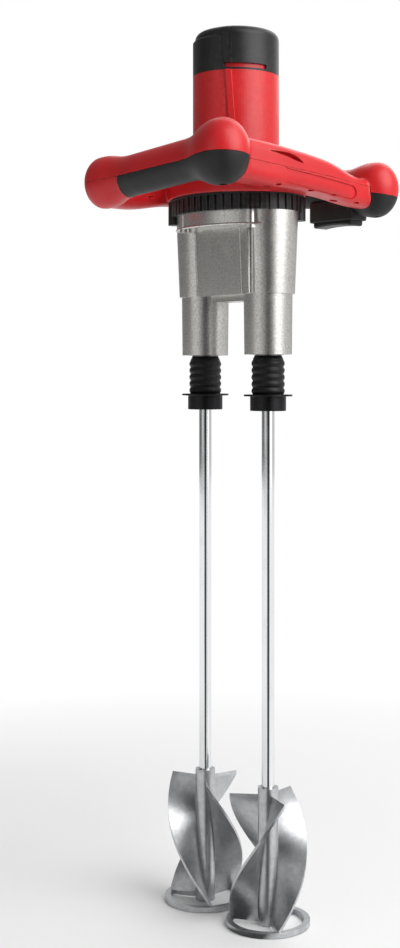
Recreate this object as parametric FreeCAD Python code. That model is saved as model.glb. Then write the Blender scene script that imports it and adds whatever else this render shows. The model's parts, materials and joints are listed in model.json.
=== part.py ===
import FreeCAD, Part
import math
import os

Vector = FreeCAD.Vector
UP = Vector(0, 0, 1)
FULL_TURN = 360.0

# Twin-shaft mixing drill, all sizes in millimetres and degrees.
# +Z runs up the motor axis, X points from the left grip to the right grip,
# Y runs along the grips. The origin is on the motor axis at grip height.

# General walls and clearances
shell_wall = 3.0
sliding_gap = 0.3
running_gap = 0.05
seat_gap = 0.02
part_gap = 0.3
far = 200.0

# Grips: two bars with bulbous ends, joined by a front and a back arm
grip_x = 104.0
grip_front_y = -95.0
grip_back_y = 79.0
grip_tall = 1.26
left_front_z = 8.5
left_back_z = -4.0
right_front_z = -9.0
right_back_z = 8.0
left_front_radius = 24.5
left_back_radius = 20.5
right_front_radius = 22.0
right_back_radius = 22.5
grip_waist_radius = 16.0
grip_neck_length = 46.0
seam_turn = 37.0
split_lift = 0.6
left_pad_end_y = 40.0
right_pad_end_y = 46.0

# Arms: rounded bars that carry the grips
arm_corner = 10.0
arm_depth = 36.0
arm_end_depth = 28.0
arm_front_y = -90.0
arm_back_y = 76.0
arm_body_low_z = -19.0
arm_body_top_z = 19.0
arm_fall_low_z = -21.0
arm_fall_top_z = 12.0
arm_slim_low_z = -28.0
front_slim_top_z = 0.5
back_slim_top_z = 7.0
arm_thick_top_z = 26.0
arm_thick_low_z = -15.0
arm_body_x = 26.0
arm_slim_x = 76.0
arm_screw_x = 46.0
panel_start_x = 33.0
panel_end_x = 58.0
panel_half_height = 6.0
panel_drop = 8.0
panel_depth = 1.2

# Central body of the handle
body_half_x = 57.0
body_half_y = 80.0
body_brow_z = 4.0
body_shoulder_z = 18.0
body_top_z = 33.0
foot_flare = 2.0
shoulder_flare_x = 8.0
shoulder_flare_y = 20.0
oval_hint = 0.5

# Motor
motor_radius = 43.0
motor_wall = 3.0
housing_top_z = 103.0
cap_top_z = 147.0
cap_edge = 8.5
cap_wall = 2.6
slot_low_z = 105.0
slot_high_z = 109.5
slot_start_angle = 211.0
slot_end_angle = 271.0
rib_width = 6.0
rib_height = 2.0
rib_root = 1.5
rib_top_z = 147.0
rib_top_angle = 212.0
rib_foot_angle = 224.0
stator_low_z = 30.0
stator_high_z = 82.0
armature_radius = 22.0
armature_slots = 12
slot_width = 2.5
slot_depth = 5.0
air_gap = 0.6
winding_height = 10.0
shaft_radius = 5.0
shaft_top_z = 133.0
pinion_bore = 2.5
commutator_radius = 13.0
commutator_low_z = 93.0
commutator_high_z = 110.0
brush_z = 102.0
brush_size = 7.0
brush_length = 14.0
brush_wall = 1.5
brush_gap = 1.5
fan_radius = 36.0
fan_low_z = -10.0
fan_high_z = 8.0
fan_blades = 12
fan_hub_radius = 9.0
fan_disc = 2.0
fan_rake = 20.0
window_count = 10
window_width = 14.0
window_low_z = -26.0
bearing_height = 9.0
motor_bearing_radius = 13.0
upper_bearing_z = 121.0
bracket_height = 4.0
neck_top_z = 124.0

# Vent collar and gearbox flange
collar_half_x = 55.0
collar_half_y = 75.0
collar_rim = 2.0
collar_top_z = -18.0
collar_room = 1.0
collar_low_z = -35.0
collar_wall = 6.0
collar_rib_depth = 2.2
collar_rib_width = 2.6
collar_ribs = 46
lug_low_z = -42.5
lug_radius = 7.0
lug_angle = 306.0
flange_low_z = -49.5
flange_half_x = 50.0
flange_half_y = 69.0

# Gearbox casting: two stepped barrels joined by a web
spindle_pitch = 92.0
barrel_top_radius = 29.5
barrel_step_radius = 26.2
barrel_low_radius = 23.3
barrel_step_z = -115.0
barrel_low_z = -174.0
barrel_draft = 0.6
web_half_x = 25.0
web_lip = 6.0
web_lip_half_x = 11.0
flange_floor = 3.5
plate_ledge = 1.5
bearing_lift = 2.0
gear_room = 0.7
gearbox_wall = 4.0
boss_radius = 6.0
boss_drop = 3.0
boss_angles = (233.0, 152.0)
boss_seat_x = 46.0
boss_seat_y = 63.0

# Gear train
pressure_angle = 25.0
tooth_backlash = 0.16
root_depth = 1.25
flank_steps = 4
fast_module = 0.8
slow_module = 1.0
motor_pinion_teeth = 12
lay_gear_teeth = 50
lay_pinion_teeth = 12
drive_gear_teeth = 44
output_gear_teeth = 40
idler_gear_teeth = 26
plate_height = 4.0
fast_low_z = -45.0
fast_high_z = -37.0
slow_low_z = -62.0
slow_high_z = -51.0
mid_plate_low_z = -70.0
output_low_z = -107.0
output_high_z = -94.0
lay_shaft_radius = 4.0
idler_pin_radius = 4.0
bush_wall = 2.0
spindle_radius = 8.5
spindle_top_radius = 5.0
spindle_bearing_radius = 17.5
spindle_bearing_height = 10.0
seal_height = 6.0

# Quick-release couplings and rods
socket_radius = 10.5
socket_low_z = -226.0
rod_radius = 6.25
rod_top_z = -188.0
shoulder_radius = 13.0
shoulder_low_z = -179.0
bellows_radius = 16.3
bellows_valley = 14.9
bellows_wall = 1.2
bellows_top_z = -174.8
bellows_ribs = 5
bellows_taper = 4.5
rib_points = 4
sleeve_flange_radius = 23.8
sleeve_flange_z = -213.0
sleeve_flange_height = 1.8
sleeve_cup_radius = 17.6
sleeve_low_z = -229.0
sleeve_neck_top_z = -203.0
sleeve_travel = 8.0
spring_wire = 1.2
spring_turns = 5.0
coil_steps = 16
ball_radius = 2.5
ball_bite = 0.8
ball_z = -207.0
balls_per_coupling = 3
release_groove = 1.6

# Mixing paddles
paddle_radius = 41.0
paddle_top_z = -596.0
paddle_low_z = -729.0
paddle_hub_radius = 10.0
paddle_blades = 3
paddle_twist = 130.0
blade_thickness = 4.0
blade_lift = 0.5
blade_steps = 6
ring_width = 6.0
ring_height = 5.0
hub_stand = 8.0

# Trigger, switch and lock button
trigger_front_y = -68.0
trigger_back_y = -16.0
trigger_width = 20.0
trigger_low_z = -43.0
trigger_top_z = -16.5
trigger_corner = 2.5
lip_half_width = 5.0
lip_reach = 1.8
lip_height = 2.5
spring_pocket_depth = 10.0
trigger_spring_radius = 3.0
trigger_wire = 0.7
trigger_turns = 6.0
trigger_travel = 5.0
guard_low_z = -37.0
guard_margin = 4.0
guard_half_width = 14.0
guard_corner = 6.0
switch_height = 14.0
lock_y = -76.0
lock_radius = 5.5
lock_stand = 8.0
lock_length = 13.0
lock_round = 1.5
gland_bore = 4.5
gland_radius = 8.5
gland_length = 20.0
gland_stand = 5.0
gland_bead = 1.5
inlet_clear = 26.0

# Screws
screw_radius = 2.0
screw_head_radius = 3.8
screw_head_height = 3.0
screw_length = 17.0
screw_seat_drop = 12.0
post_radius = 6.0


def cylinder(radius, low_z, high_z, x=0.0, y=0.0):
    return Part.makeCylinder(radius, high_z - low_z, Vector(x, y, low_z), UP)


def tube(outer, inner, low_z, high_z, x=0.0, y=0.0):
    return cylinder(outer, low_z, high_z, x, y).cut(cylinder(inner, low_z, high_z, x, y))


def block(x0, x1, y0, y1, z0, z1):
    return Part.makeBox(x1 - x0, y1 - y0, z1 - z0, Vector(x0, y0, z0))


def spin_profile(points, x=0.0, y=0.0):
    """Turn a closed list of (radius, z) points about a vertical axis through x, y."""
    corners = [Vector(x + radius, y, z) for radius, z in points]
    wire = Part.makePolygon(corners + corners[:1])
    return Part.Face(wire).revolve(Vector(x, y, 0), UP, FULL_TURN)


def oval_wire(half_x, half_y, z):
    """An upright oval outline at height z."""
    if half_y > half_x:
        ellipse = Part.Ellipse(Vector(0, half_y, z), Vector(half_x, 0, z), Vector(0, 0, z))
    else:
        ellipse = Part.Circle(Vector(0, 0, z), UP, half_x)
    return Part.Wire([ellipse.toShape()])


def oval_prism(half_x, half_y, low_z, high_z):
    return Part.Face(oval_wire(half_x, half_y, low_z)).extrude(Vector(0, 0, high_z - low_z))


def level_wire(half_x, half_y, z):
    """A level rectangle round the motor axis."""
    corners = [Vector(-half_x, -half_y, z), Vector(half_x, -half_y, z),
               Vector(half_x, half_y, z), Vector(-half_x, half_y, z)]
    return Part.makePolygon(corners + corners[:1])


def rounded_wire(x, y_mid, half_y, z_mid, half_z, corner):
    """A rounded rectangle in the plane of one x, for lofting an arm."""
    centres = [(1, 1, 0), (-1, 1, 90), (-1, -1, 180), (1, -1, 270)]
    spots = []
    for side_y, side_z, start in centres:
        cy = y_mid + side_y * (half_y - corner)
        cz = z_mid + side_z * (half_z - corner)
        for turn in (0, 45, 90):
            angle = math.radians(start + turn)
            spots.append(Vector(x, cy + corner * math.cos(angle), cz + corner * math.sin(angle)))
    edges = []
    for index in range(4):
        first, middle, last = spots[3 * index:3 * index + 3]
        edges.append(Part.Arc(first, middle, last).toShape())
        edges.append(Part.makeLine(last, spots[(3 * index + 3) % 12]))
    return Part.Wire(edges)


def grip_bar(x, front_z, back_z, front_radius, back_radius, inset):
    """One grip: a turned bar with domed ends, made taller than wide and tilted."""
    front = front_radius - inset
    back = back_radius - inset
    waist = grip_waist_radius - inset
    length = grip_back_y - grip_front_y
    neck = grip_neck_length
    quarter = math.sqrt(0.5)
    front_dome = Part.Arc(Vector(0, -front, 0), Vector(front * quarter, -front * quarter, 0),
                          Vector(front, 0, 0)).toShape()
    front_neck = Part.BezierCurve()
    front_neck.setPoles([Vector(front, 0, 0), Vector(front, neck / 2, 0),
                         Vector(waist, neck / 2, 0), Vector(waist, neck, 0)])
    middle = Part.makeLine(Vector(waist, neck, 0), Vector(waist, length - neck, 0))
    back_neck = Part.BezierCurve()
    back_neck.setPoles([Vector(waist, length - neck, 0), Vector(waist, length - neck / 2, 0),
                        Vector(back, length - neck / 2, 0), Vector(back, length, 0)])
    back_dome = Part.Arc(Vector(back, length, 0),
                         Vector(back * quarter, length + back * quarter, 0),
                         Vector(0, length + back, 0)).toShape()
    axis = Part.makeLine(Vector(0, length + back, 0), Vector(0, -front, 0))
    outline = Part.Wire([front_dome, front_neck.toShape(), middle, back_neck.toShape(),
                         back_dome, axis])
    bar = Part.Face(outline).revolve(Vector(0, 0, 0), Vector(0, 1, 0), FULL_TURN)
    bar.rotate(Vector(0, 0, 0), Vector(0, 1, 0), seam_turn)
    stretch = FreeCAD.Matrix()
    stretch.scale(1.0, 1.0, grip_tall)
    bar = bar.transformGeometry(stretch)
    bar.rotate(Vector(0, 0, 0), Vector(1, 0, 0), math.degrees(math.atan2(back_z - front_z, length)))
    bar.translate(Vector(x, grip_front_y, front_z))
    return bar


def arm(y_mid, slim_side, slim_top_z, inset):
    """A cross arm: thick at one grip, full beside the body, slim at the other grip."""
    stations = [
        (-slim_side * grip_x, arm_end_depth, arm_thick_low_z, arm_thick_top_z),
        (-slim_side * arm_body_x, arm_depth, arm_body_low_z, arm_body_top_z),
        (slim_side * arm_body_x, arm_depth, arm_fall_low_z, arm_fall_top_z),
        (slim_side * arm_slim_x, arm_end_depth, arm_slim_low_z, slim_top_z),
        (slim_side * grip_x, arm_end_depth, arm_slim_low_z, slim_top_z),
    ]
    wires = []
    for x, depth, low, top in stations:
        wires.append(rounded_wire(x, y_mid, depth / 2 - inset, (low + top) / 2,
                                  (top - low) / 2 - inset, arm_corner - inset))
    return Part.makeLoft(wires, True, False)


def front_arm(inset):
    return arm(arm_front_y, 1, front_slim_top_z, inset)


def back_arm(inset):
    return arm(arm_back_y, -1, back_slim_top_z, inset)


def central_body(inset):
    """The oval body that swells out of the motor's foot and takes both arms."""
    shoulder_x = motor_radius + shoulder_flare_x
    shoulder_y = motor_radius + shoulder_flare_y
    foot = motor_radius + foot_flare
    rings = [
        oval_wire(body_half_x - inset, body_half_y - inset, collar_top_z - collar_room),
        oval_wire(body_half_x - inset, body_half_y - inset, body_brow_z - inset),
        oval_wire(shoulder_x - inset, shoulder_y - inset, body_shoulder_z - inset),
        oval_wire(foot - inset, foot + oval_hint - inset, body_top_z - inset),
    ]
    return Part.makeLoft(rings, True, False)


def left_grip(inset):
    return grip_bar(-grip_x, left_front_z, left_back_z, left_front_radius, left_back_radius, inset)


def right_grip(inset):
    return grip_bar(grip_x, right_front_z, right_back_z, right_front_radius, right_back_radius, inset)


def handle_form(inset):
    """The whole ring of grips, arms and body, drawn in by the given inset."""
    return left_grip(inset).fuse([right_grip(inset), front_arm(inset), back_arm(inset),
                                  central_body(inset)])


def split_z(x, y):
    """Height of the parting surface, which twists to follow both grips."""
    along = (y - grip_front_y) / (grip_back_y - grip_front_y)
    left_z = left_front_z + along * (left_back_z - left_front_z)
    right_z = right_front_z + along * (right_back_z - right_front_z)
    return split_lift + (left_z + right_z) / 2 + (right_z - left_z) / 2 * x / grip_x


def split_point(x, y):
    return Vector(x, y, split_z(x, y))


def upper_space():
    """Everything above the parting surface."""
    reach_x = 2 * grip_x
    low_y = 2 * grip_front_y
    high_y = 2 * grip_back_y
    left_line = Part.makeLine(split_point(-reach_x, low_y), split_point(-reach_x, high_y))
    right_line = Part.makeLine(split_point(reach_x, low_y), split_point(reach_x, high_y))
    sheet = Part.makeRuledSurface(left_line, right_line)
    return sheet.extrude(Vector(0, 0, far))


def screw_spots():
    """Where the handle halves are screwed together, from below."""
    spots = [(-grip_x, grip_front_y), (-grip_x, grip_back_y), (grip_x, grip_front_y),
             (grip_x, grip_back_y - inlet_clear)]
    spots += [(x, y) for x in (-arm_screw_x, arm_screw_x) for y in (arm_front_y, arm_back_y)]
    return spots


def arm_panel(make_arm, y_mid, slim_side):
    """The shallow panel sunk into an arm's outer face, round at its slim end."""
    outward = -1 if y_mid < 0 else 1
    start = -slim_side * panel_start_x
    end = slim_side * panel_end_x
    low_y = min(y_mid, y_mid + outward * far)
    window = block(min(start, end), max(start, end), low_y, low_y + far,
                   -panel_half_height, panel_half_height)
    round_end = Part.makeCylinder(panel_half_height, far, Vector(end, low_y, 0), Vector(0, 1, 0))
    window = window.fuse(round_end)
    slope = math.atan2(split_z(end, y_mid) - split_z(start, y_mid), end - start)
    window.rotate(Vector(0, 0, 0), Vector(0, -1, 0), math.degrees(slope))
    window.translate(Vector(0, 0, split_z(0, y_mid) - panel_drop))
    skin = make_arm(-panel_depth).cut(make_arm(panel_depth))
    return skin.common(window)


def screw_hole(x, y):
    """A stepped hole for one handle screw, with a recess for its head from below."""
    seat = split_z(x, y) - screw_seat_drop
    shank = cylinder(screw_radius + seat_gap, seat - screw_head_height, seat + screw_length, x, y)
    return shank.fuse(cylinder(screw_head_radius + part_gap, -far, seat, x, y)).removeSplitter()


def guard_form():
    """The block under the right grip that the trigger slides in."""
    guard = block(grip_x - guard_half_width, grip_x + guard_half_width,
                  trigger_front_y - guard_margin, trigger_back_y + guard_margin,
                  guard_low_z, split_z(grip_x, trigger_back_y) - guard_margin)
    return guard.makeFillet(guard_corner, [edge for edge in guard.Edges if is_upright(edge)])


def handle_pieces():
    """Upper and lower handle shells and the two black grip pads."""
    outer = handle_form(0.0)
    shell = outer.cut(handle_form(shell_wall))
    above = upper_space()
    buried = handle_form(shell_wall / 2)
    posts = [cylinder(post_radius, -far, far, x, y).common(buried) for x, y in screw_spots()]
    upper = shell.common(above).fuse([post.common(above) for post in posts])
    lower = shell.cut(above).fuse([post.cut(above) for post in posts])
    upper = upper.cut(cylinder(motor_radius + seat_gap, -far, far))
    room_x = max(body_half_x, collar_half_x + collar_rim) + collar_room
    room_y = max(body_half_y, collar_half_y + collar_rim) + collar_room
    lower = lower.cut(oval_prism(room_x, room_y, -far, collar_top_z))
    holes = [screw_hole(x, y) for x, y in screw_spots()]
    holes += [lock_button_body(sliding_gap), gland_body(seat_gap)]
    panels = [arm_panel(front_arm, arm_front_y, 1), arm_panel(back_arm, arm_back_y, -1)]
    upper = upper.cut(holes)
    lower = lower.cut(holes).cut(panels)
    left_zone = left_grip(-part_gap).common(block(-far, 0, -far, left_pad_end_y, -far, far))
    right_zone = right_grip(-part_gap).common(block(0, far, -far, right_pad_end_y, -far, far))
    left_pad = lower.common(left_zone)
    guard = guard_form().cut(right_grip(shell_wall))
    right_pad = lower.common(right_zone).fuse(guard).cut(trigger_form(sliding_gap, trigger_travel))
    lower = lower.cut(left_zone).cut(right_zone)
    return upper, lower, left_pad, right_pad


def is_upright(edge):
    return abs(edge.tangentAt(edge.FirstParameter).z) > 0.9


def trigger_form(gap, travel):
    """The trigger's plunger with its finger plate, grown by a gap and swept up by its travel."""
    half = trigger_width / 2 + gap
    plunger = block(grip_x - half, grip_x + half, trigger_front_y - gap, trigger_back_y + gap,
                    trigger_low_z - gap, trigger_top_z + travel + gap)
    return plunger


def trigger_piece():
    """Trigger with end lips that hold it in the grip, and a pocket for its spring."""
    plunger = trigger_form(0.0, 0.0)
    plate_edges = [edge for edge in plunger.Edges
                   if abs(edge.BoundBox.ZMax - trigger_low_z) < 1e-6 or is_upright(edge)]
    plunger = plunger.makeFillet(trigger_corner, plate_edges)
    lip = block(grip_x - lip_half_width, grip_x + lip_half_width, trigger_front_y - lip_reach,
                trigger_back_y + lip_reach, trigger_top_z, trigger_top_z + lip_height)
    room = right_grip(shell_wall + sliding_gap)
    pocket = cylinder(trigger_spring_radius + spring_wire, spring_seat_z(), far, grip_x, trigger_mid_y())
    return plunger.fuse(lip.common(room)).removeSplitter().cut(pocket)


def trigger_mid_y():
    return (trigger_front_y + trigger_back_y) / 2


def switch_low_z():
    return trigger_top_z + lip_height + trigger_travel + sliding_gap


def spring_seat_z():
    return trigger_top_z - spring_pocket_depth


def coil_spring(radius, wire, turns, low_z, high_z, x, y):
    """A round-wire compression spring standing between two heights."""
    steps = int(turns * coil_steps)
    rise = (high_z - low_z - wire) / steps
    circle = Part.Wire([Part.Circle(Vector(radius, 0, 0), Vector(0, 1, 0), wire / 2).toShape()])
    sections = []
    for step in range(steps + 1):
        section = circle.copy()
        section.rotate(Vector(0, 0, 0), UP, step * FULL_TURN / coil_steps)
        section.translate(Vector(x, y, low_z + wire / 2 + step * rise))
        sections.append(section)
    return Part.makeLoft(sections, True, True)


def switch_piece():
    """Switch body, shaped to sit in the grip above the trigger."""
    body = block(grip_x - far, grip_x + far, trigger_front_y, trigger_back_y,
                 switch_low_z(), switch_low_z() + switch_height)
    return body.common(right_grip(shell_wall + seat_gap))


def lock_z():
    return split_z(grip_x, lock_y)


def lock_outer_x():
    return grip_x + grip_waist_radius + lock_stand


def lock_button_body(gap):
    """The part of the lock button that passes through the grip's wall."""
    return Part.makeCylinder(lock_radius + gap, lock_length, Vector(lock_outer_x(), lock_y, lock_z()),
                             Vector(-1, 0, 0))


def lock_button_piece():
    stem = lock_button_body(0.0)
    inside_x = lock_outer_x() - lock_length
    collar = Part.makeCylinder(lock_radius + lip_reach, lip_height,
                               Vector(inside_x, lock_y, lock_z()), Vector(1, 0, 0))
    face_edges = [edge for edge in stem.Edges if edge.BoundBox.XMin > lock_outer_x() - 1e-6]
    return stem.makeFillet(lock_round, face_edges).fuse(collar).removeSplitter()


def gland_tip_y():
    return grip_back_y + right_back_radius


def gland_body(gap):
    return Part.makeCylinder(gland_radius + gap, gland_length,
                             Vector(grip_x, gland_tip_y() + gland_stand, right_back_z),
                             Vector(0, -1, 0))


def gland_piece():
    """Cable inlet bush at the back end of the right grip."""
    outer_y = gland_tip_y() + gland_stand
    bore = Part.makeCylinder(gland_bore, gland_length, Vector(grip_x, outer_y, right_back_z),
                             Vector(0, -1, 0))
    bead = Part.makeTorus(gland_radius - gland_bead / 2, gland_bead,
                          Vector(grip_x, outer_y - gland_bead, right_back_z), Vector(0, 1, 0))
    return gland_body(0.0).fuse(bead).cut(bore)


def handle_screw_group():
    screws = []
    for x, y in screw_spots():
        seat = split_z(x, y) - screw_seat_drop
        shank = cylinder(screw_radius, seat, seat + screw_length - part_gap, x, y)
        head = cylinder(screw_head_radius, seat - screw_head_height, seat, x, y)
        socket = cylinder(screw_radius, seat - screw_head_height, seat - screw_head_height / 2, x, y)
        screws.append(head.cut(socket).fuse(shank).removeSplitter())
    return Part.makeCompound(screws)


def motor_rib(low_z, high_z, form):
    """Two slanting strips on opposite sides, standing proud of the given round form."""
    rise = rib_top_z - body_top_z
    lean = math.radians(rib_foot_angle - rib_top_angle) * motor_radius / rise
    strips = []
    for start in (rib_foot_angle, rib_foot_angle + 180):
        strip = block(motor_radius - rib_root, motor_radius + far, -rib_width / 2, rib_width / 2,
                      -far, far)
        strip.rotate(Vector(0, 0, 0), Vector(1, 0, 0), math.degrees(math.atan(lean)))
        strip.translate(Vector(0, 0, body_top_z))
        strip.rotate(Vector(0, 0, 0), UP, start)
        strips.append(strip)
    ribs = strips[0].fuse(strips[1]).common(form)
    return ribs.common(block(-far, far, -far, far, low_z, high_z))


def cap_form(radius, low_z, high_z, edge_radius):
    """A round cup with a soft upper edge."""
    body = cylinder(radius, low_z, high_z)
    top_edges = [edge for edge in body.Edges if edge.BoundBox.ZMin > high_z - 1e-6]
    return body.makeFillet(edge_radius, top_edges)


def housing_inner():
    return motor_radius - motor_wall


def neck_radius():
    return motor_radius - cap_wall - seat_gap


def plate_top_z():
    return collar_low_z + plate_height


def motor_housing_piece():
    """Red motor tube with a neck for the end cap and air windows round the fan."""
    foot_z = plate_top_z()
    body = cylinder(motor_radius, foot_z, housing_top_z).fuse(
        cylinder(neck_radius(), housing_top_z, neck_top_z))
    proud = cylinder(motor_radius + rib_height, body_top_z, housing_top_z)
    body = body.fuse(motor_rib(body_top_z, housing_top_z, proud))
    body = body.cut(cylinder(housing_inner(), foot_z, housing_top_z - motor_wall))
    body = body.cut(cylinder(neck_radius() - motor_wall, foot_z, neck_top_z))
    windows = []
    for index in range(window_count):
        window = block(0, far, -window_width / 2, window_width / 2, window_low_z, fan_low_z)
        window.rotate(Vector(0, 0, 0), UP, index * FULL_TURN / window_count)
        windows.append(window)
    return body.cut(windows)


def end_cap_piece():
    """Black end cap with an air slot on each side and the ribs running over its edge."""
    outer = cap_form(motor_radius, housing_top_z, cap_top_z, cap_edge)
    proud = cap_form(motor_radius + rib_height, housing_top_z, cap_top_z, cap_edge)
    outer = outer.fuse(motor_rib(housing_top_z, cap_top_z, proud))
    inner = cap_form(motor_radius - cap_wall, housing_top_z, cap_top_z - cap_wall, cap_edge - cap_wall)
    sweep = slot_end_angle - slot_start_angle
    slots = []
    for start in (slot_start_angle, slot_start_angle + 180):
        slot = Part.makeCylinder(motor_radius + far, slot_high_z - slot_low_z,
                                 Vector(0, 0, slot_low_z), UP, sweep)
        slot.rotate(Vector(0, 0, 0), UP, start)
        slots.append(slot)
    return outer.cut(inner).cut(slots)


def armature_pieces():
    """Shaft with its stub, laminated core, commutator and fan."""
    stub_z = fast_low_z - sliding_gap
    shaft = cylinder(shaft_radius, plate_top_z() - plate_height, shaft_top_z)
    shaft = shaft.fuse(cylinder(pinion_bore, stub_z, plate_top_z() - plate_height)).removeSplitter()
    core = tube(armature_radius, shaft_radius + seat_gap, stator_low_z, stator_high_z)
    slots = []
    for index in range(armature_slots):
        slot = block(armature_radius - slot_depth, armature_radius + slot_depth,
                     -slot_width / 2, slot_width / 2, stator_low_z, stator_high_z)
        slot.rotate(Vector(0, 0, 0), UP, index * FULL_TURN / armature_slots)
        slots.append(slot)
    core = core.cut(slots)
    commutator = tube(commutator_radius, shaft_radius + seat_gap, commutator_low_z, commutator_high_z)
    hub = tube(fan_hub_radius, shaft_radius + seat_gap, fan_low_z, fan_high_z)
    disc = tube(fan_radius, fan_hub_radius, fan_high_z - fan_disc, fan_high_z)
    blades = []
    for index in range(fan_blades):
        blade = block(fan_hub_radius + fan_disc, fan_radius, -fan_disc / 2, fan_disc / 2,
                      fan_low_z, fan_high_z)
        blade.rotate(Vector(fan_hub_radius, 0, 0), UP, fan_rake)
        blade.rotate(Vector(0, 0, 0), UP, index * FULL_TURN / fan_blades)
        blades.append(blade.common(cylinder(fan_radius, fan_low_z, fan_high_z)))
    fan = hub.fuse([disc] + blades).removeSplitter()
    return shaft, core, commutator, fan


def stator_pieces():
    """Laminated stator ring and the winding bundle at each of its ends."""
    bore = armature_radius + air_gap
    core = tube(housing_inner() - seat_gap, bore, stator_low_z, stator_high_z)
    outer = housing_inner() - motor_wall
    inner = bore + motor_wall
    low = tube(outer, inner, stator_low_z - winding_height, stator_low_z)
    high = tube(outer, inner, stator_high_z, stator_high_z + winding_height)
    return core, Part.makeCompound([low, high])


def bearing_ring(outer, inner, low_z, height, x=0.0, y=0.0):
    """A ball bearing as one ring, with a shallow groove between its races on both faces."""
    ring = tube(outer, inner, low_z, low_z + height, x, y)
    wide = inner + (outer - inner) * 0.65
    narrow = inner + (outer - inner) * 0.35
    depth = height / 8
    low_groove = tube(wide, narrow, low_z, low_z + depth, x, y)
    high_groove = tube(wide, narrow, low_z + height - depth, low_z + height, x, y)
    return ring.cut([low_groove, high_groove])


def lower_bearing_z():
    return plate_top_z() + sliding_gap


def motor_support_pieces():
    """Upper bearing bracket, both motor bearings, brush holders and brushes."""
    reach = neck_radius() - motor_wall - seat_gap
    base_z = upper_bearing_z - bracket_height
    pocket_radius = motor_bearing_radius + seat_gap
    bracket = cylinder(reach, base_z, upper_bearing_z).fuse(
        cylinder(motor_bearing_radius + motor_wall, upper_bearing_z, upper_bearing_z + bearing_height))
    bracket = bracket.cut([cylinder(pocket_radius, upper_bearing_z, upper_bearing_z + bearing_height),
                           cylinder(shaft_radius + part_gap, base_z, upper_bearing_z)])
    bore = shaft_radius + running_gap
    bearings = Part.makeCompound([
        bearing_ring(motor_bearing_radius, bore, upper_bearing_z, bearing_height),
        bearing_ring(motor_bearing_radius, bore, lower_bearing_z(), bearing_height)])
    holders = []
    brushes = []
    half = brush_size / 2
    for side in (-1, 1):
        near = commutator_radius + brush_gap
        far_x = reach
        holder = block(near, far_x, -half - brush_wall, half + brush_wall,
                       brush_z - half - brush_wall, brush_z + half + brush_wall)
        channel = block(near, far_x - brush_wall, -half - running_gap, half + running_gap,
                        brush_z - half - running_gap, brush_z + half + running_gap)
        brush = block(commutator_radius + running_gap, commutator_radius + brush_length,
                      -half, half, brush_z - half, brush_z + half)
        holder = holder.cut(channel)
        holder = holder.common(cylinder(reach, brush_z - far, brush_z + far))
        curve = cylinder(commutator_radius + running_gap, brush_z - far, brush_z + far)
        brush = brush.cut(curve)
        for piece in (holder, brush):
            piece.rotate(Vector(0, 0, 0), UP, 90 + side * 90)
        holders.append(holder)
        brushes.append(brush)
    return bracket, bearings, Part.makeCompound(holders), Part.makeCompound(brushes)


def oval_spots(half_x, half_y, count):
    """Points spaced evenly round an oval, each with the direction it faces."""
    fine = 40 * count
    ring = []
    for index in range(fine + 1):
        angle = 2 * math.pi * index / fine
        ring.append((half_x * math.cos(angle), half_y * math.sin(angle)))
    lengths = [0.0]
    for first, second in zip(ring, ring[1:]):
        lengths.append(lengths[-1] + math.dist(first, second))
    spots = []
    step = 0
    for index in range(count):
        goal = lengths[-1] * index / count
        while lengths[step + 1] < goal:
            step += 1
        x, y = ring[step]
        spots.append((x, y, math.degrees(math.atan2(y / half_y ** 2, x / half_x ** 2))))
    return spots


def vent_collar_piece():
    """Oval collar with upright ribs, a wider top rim and two lugs reaching down."""
    rim_low = collar_top_z - collar_rim
    outer = oval_prism(collar_half_x, collar_half_y, collar_low_z, collar_top_z)
    rim = oval_prism(collar_half_x + collar_rim, collar_half_y + collar_rim, rim_low, collar_top_z)
    lugs = []
    reach_x = collar_half_x - lug_radius / 2
    reach_y = collar_half_y - lug_radius / 2
    for angle in (lug_angle, lug_angle + 180):
        turn = math.radians(angle)
        lugs.append(cylinder(lug_radius, lug_low_z, rim_low, reach_x * math.cos(turn),
                             reach_y * math.sin(turn)))
    inner = oval_prism(collar_half_x - collar_wall, collar_half_y - collar_wall,
                       collar_low_z, collar_top_z)
    rooms = [oval_prism(flange_half_x + seat_gap, flange_half_y + seat_gap, lug_low_z, collar_low_z)]
    for x, y in barrel_spots():
        rooms.append(cylinder(barrel_top_radius + seat_gap, lug_low_z, collar_low_z, x, y))
    grooves = []
    for x, y, facing in oval_spots(collar_half_x, collar_half_y, collar_ribs):
        groove = block(-collar_rib_depth, collar_rib_depth, -collar_rib_width / 2,
                       collar_rib_width / 2, collar_low_z, rim_low)
        groove.rotate(Vector(0, 0, 0), UP, facing)
        groove.translate(Vector(x, y, 0))
        grooves.append(groove)
    ring = outer.cut(grooves).fuse([rim] + lugs)
    return ring.cut([inner] + rooms).removeSplitter()


def boss_spots():
    """Screw bosses on the gearbox flange, two pairs on opposite sides."""
    spots = []
    for angle in boss_angles:
        for turn in (angle, angle + 180):
            spots.append((boss_seat_x * math.cos(math.radians(turn)),
                          boss_seat_y * math.sin(math.radians(turn))))
    return spots


def barrel_spots():
    return [(0.0, -spindle_pitch / 2), (0.0, spindle_pitch / 2)]


def lay_place():
    """Lay shaft centre: in mesh with the motor pinion and with the drive gear."""
    to_motor = fast_module * (motor_pinion_teeth + lay_gear_teeth) / 2
    to_front = slow_module * (lay_pinion_teeth + drive_gear_teeth) / 2
    half_pitch = spindle_pitch / 2
    y = (to_front ** 2 - to_motor ** 2 - half_pitch ** 2) / (2 * half_pitch)
    return math.sqrt(to_motor ** 2 - y ** 2), y


def idler_places():
    """Two idlers between the output gears, so that the spindles turn opposite ways."""
    inner = spindle_pitch / 2 - slow_module * (output_gear_teeth + idler_gear_teeth) / 2
    return [(0.0, -inner), (0.0, inner)]


def gear_tip(teeth, module):
    return module * (teeth / 2 + 1)


def upper_cavity_radius():
    return gear_tip(drive_gear_teeth, slow_module) + gear_room


def lower_cavity_radius():
    return gear_tip(output_gear_teeth, slow_module) + gear_room


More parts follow.
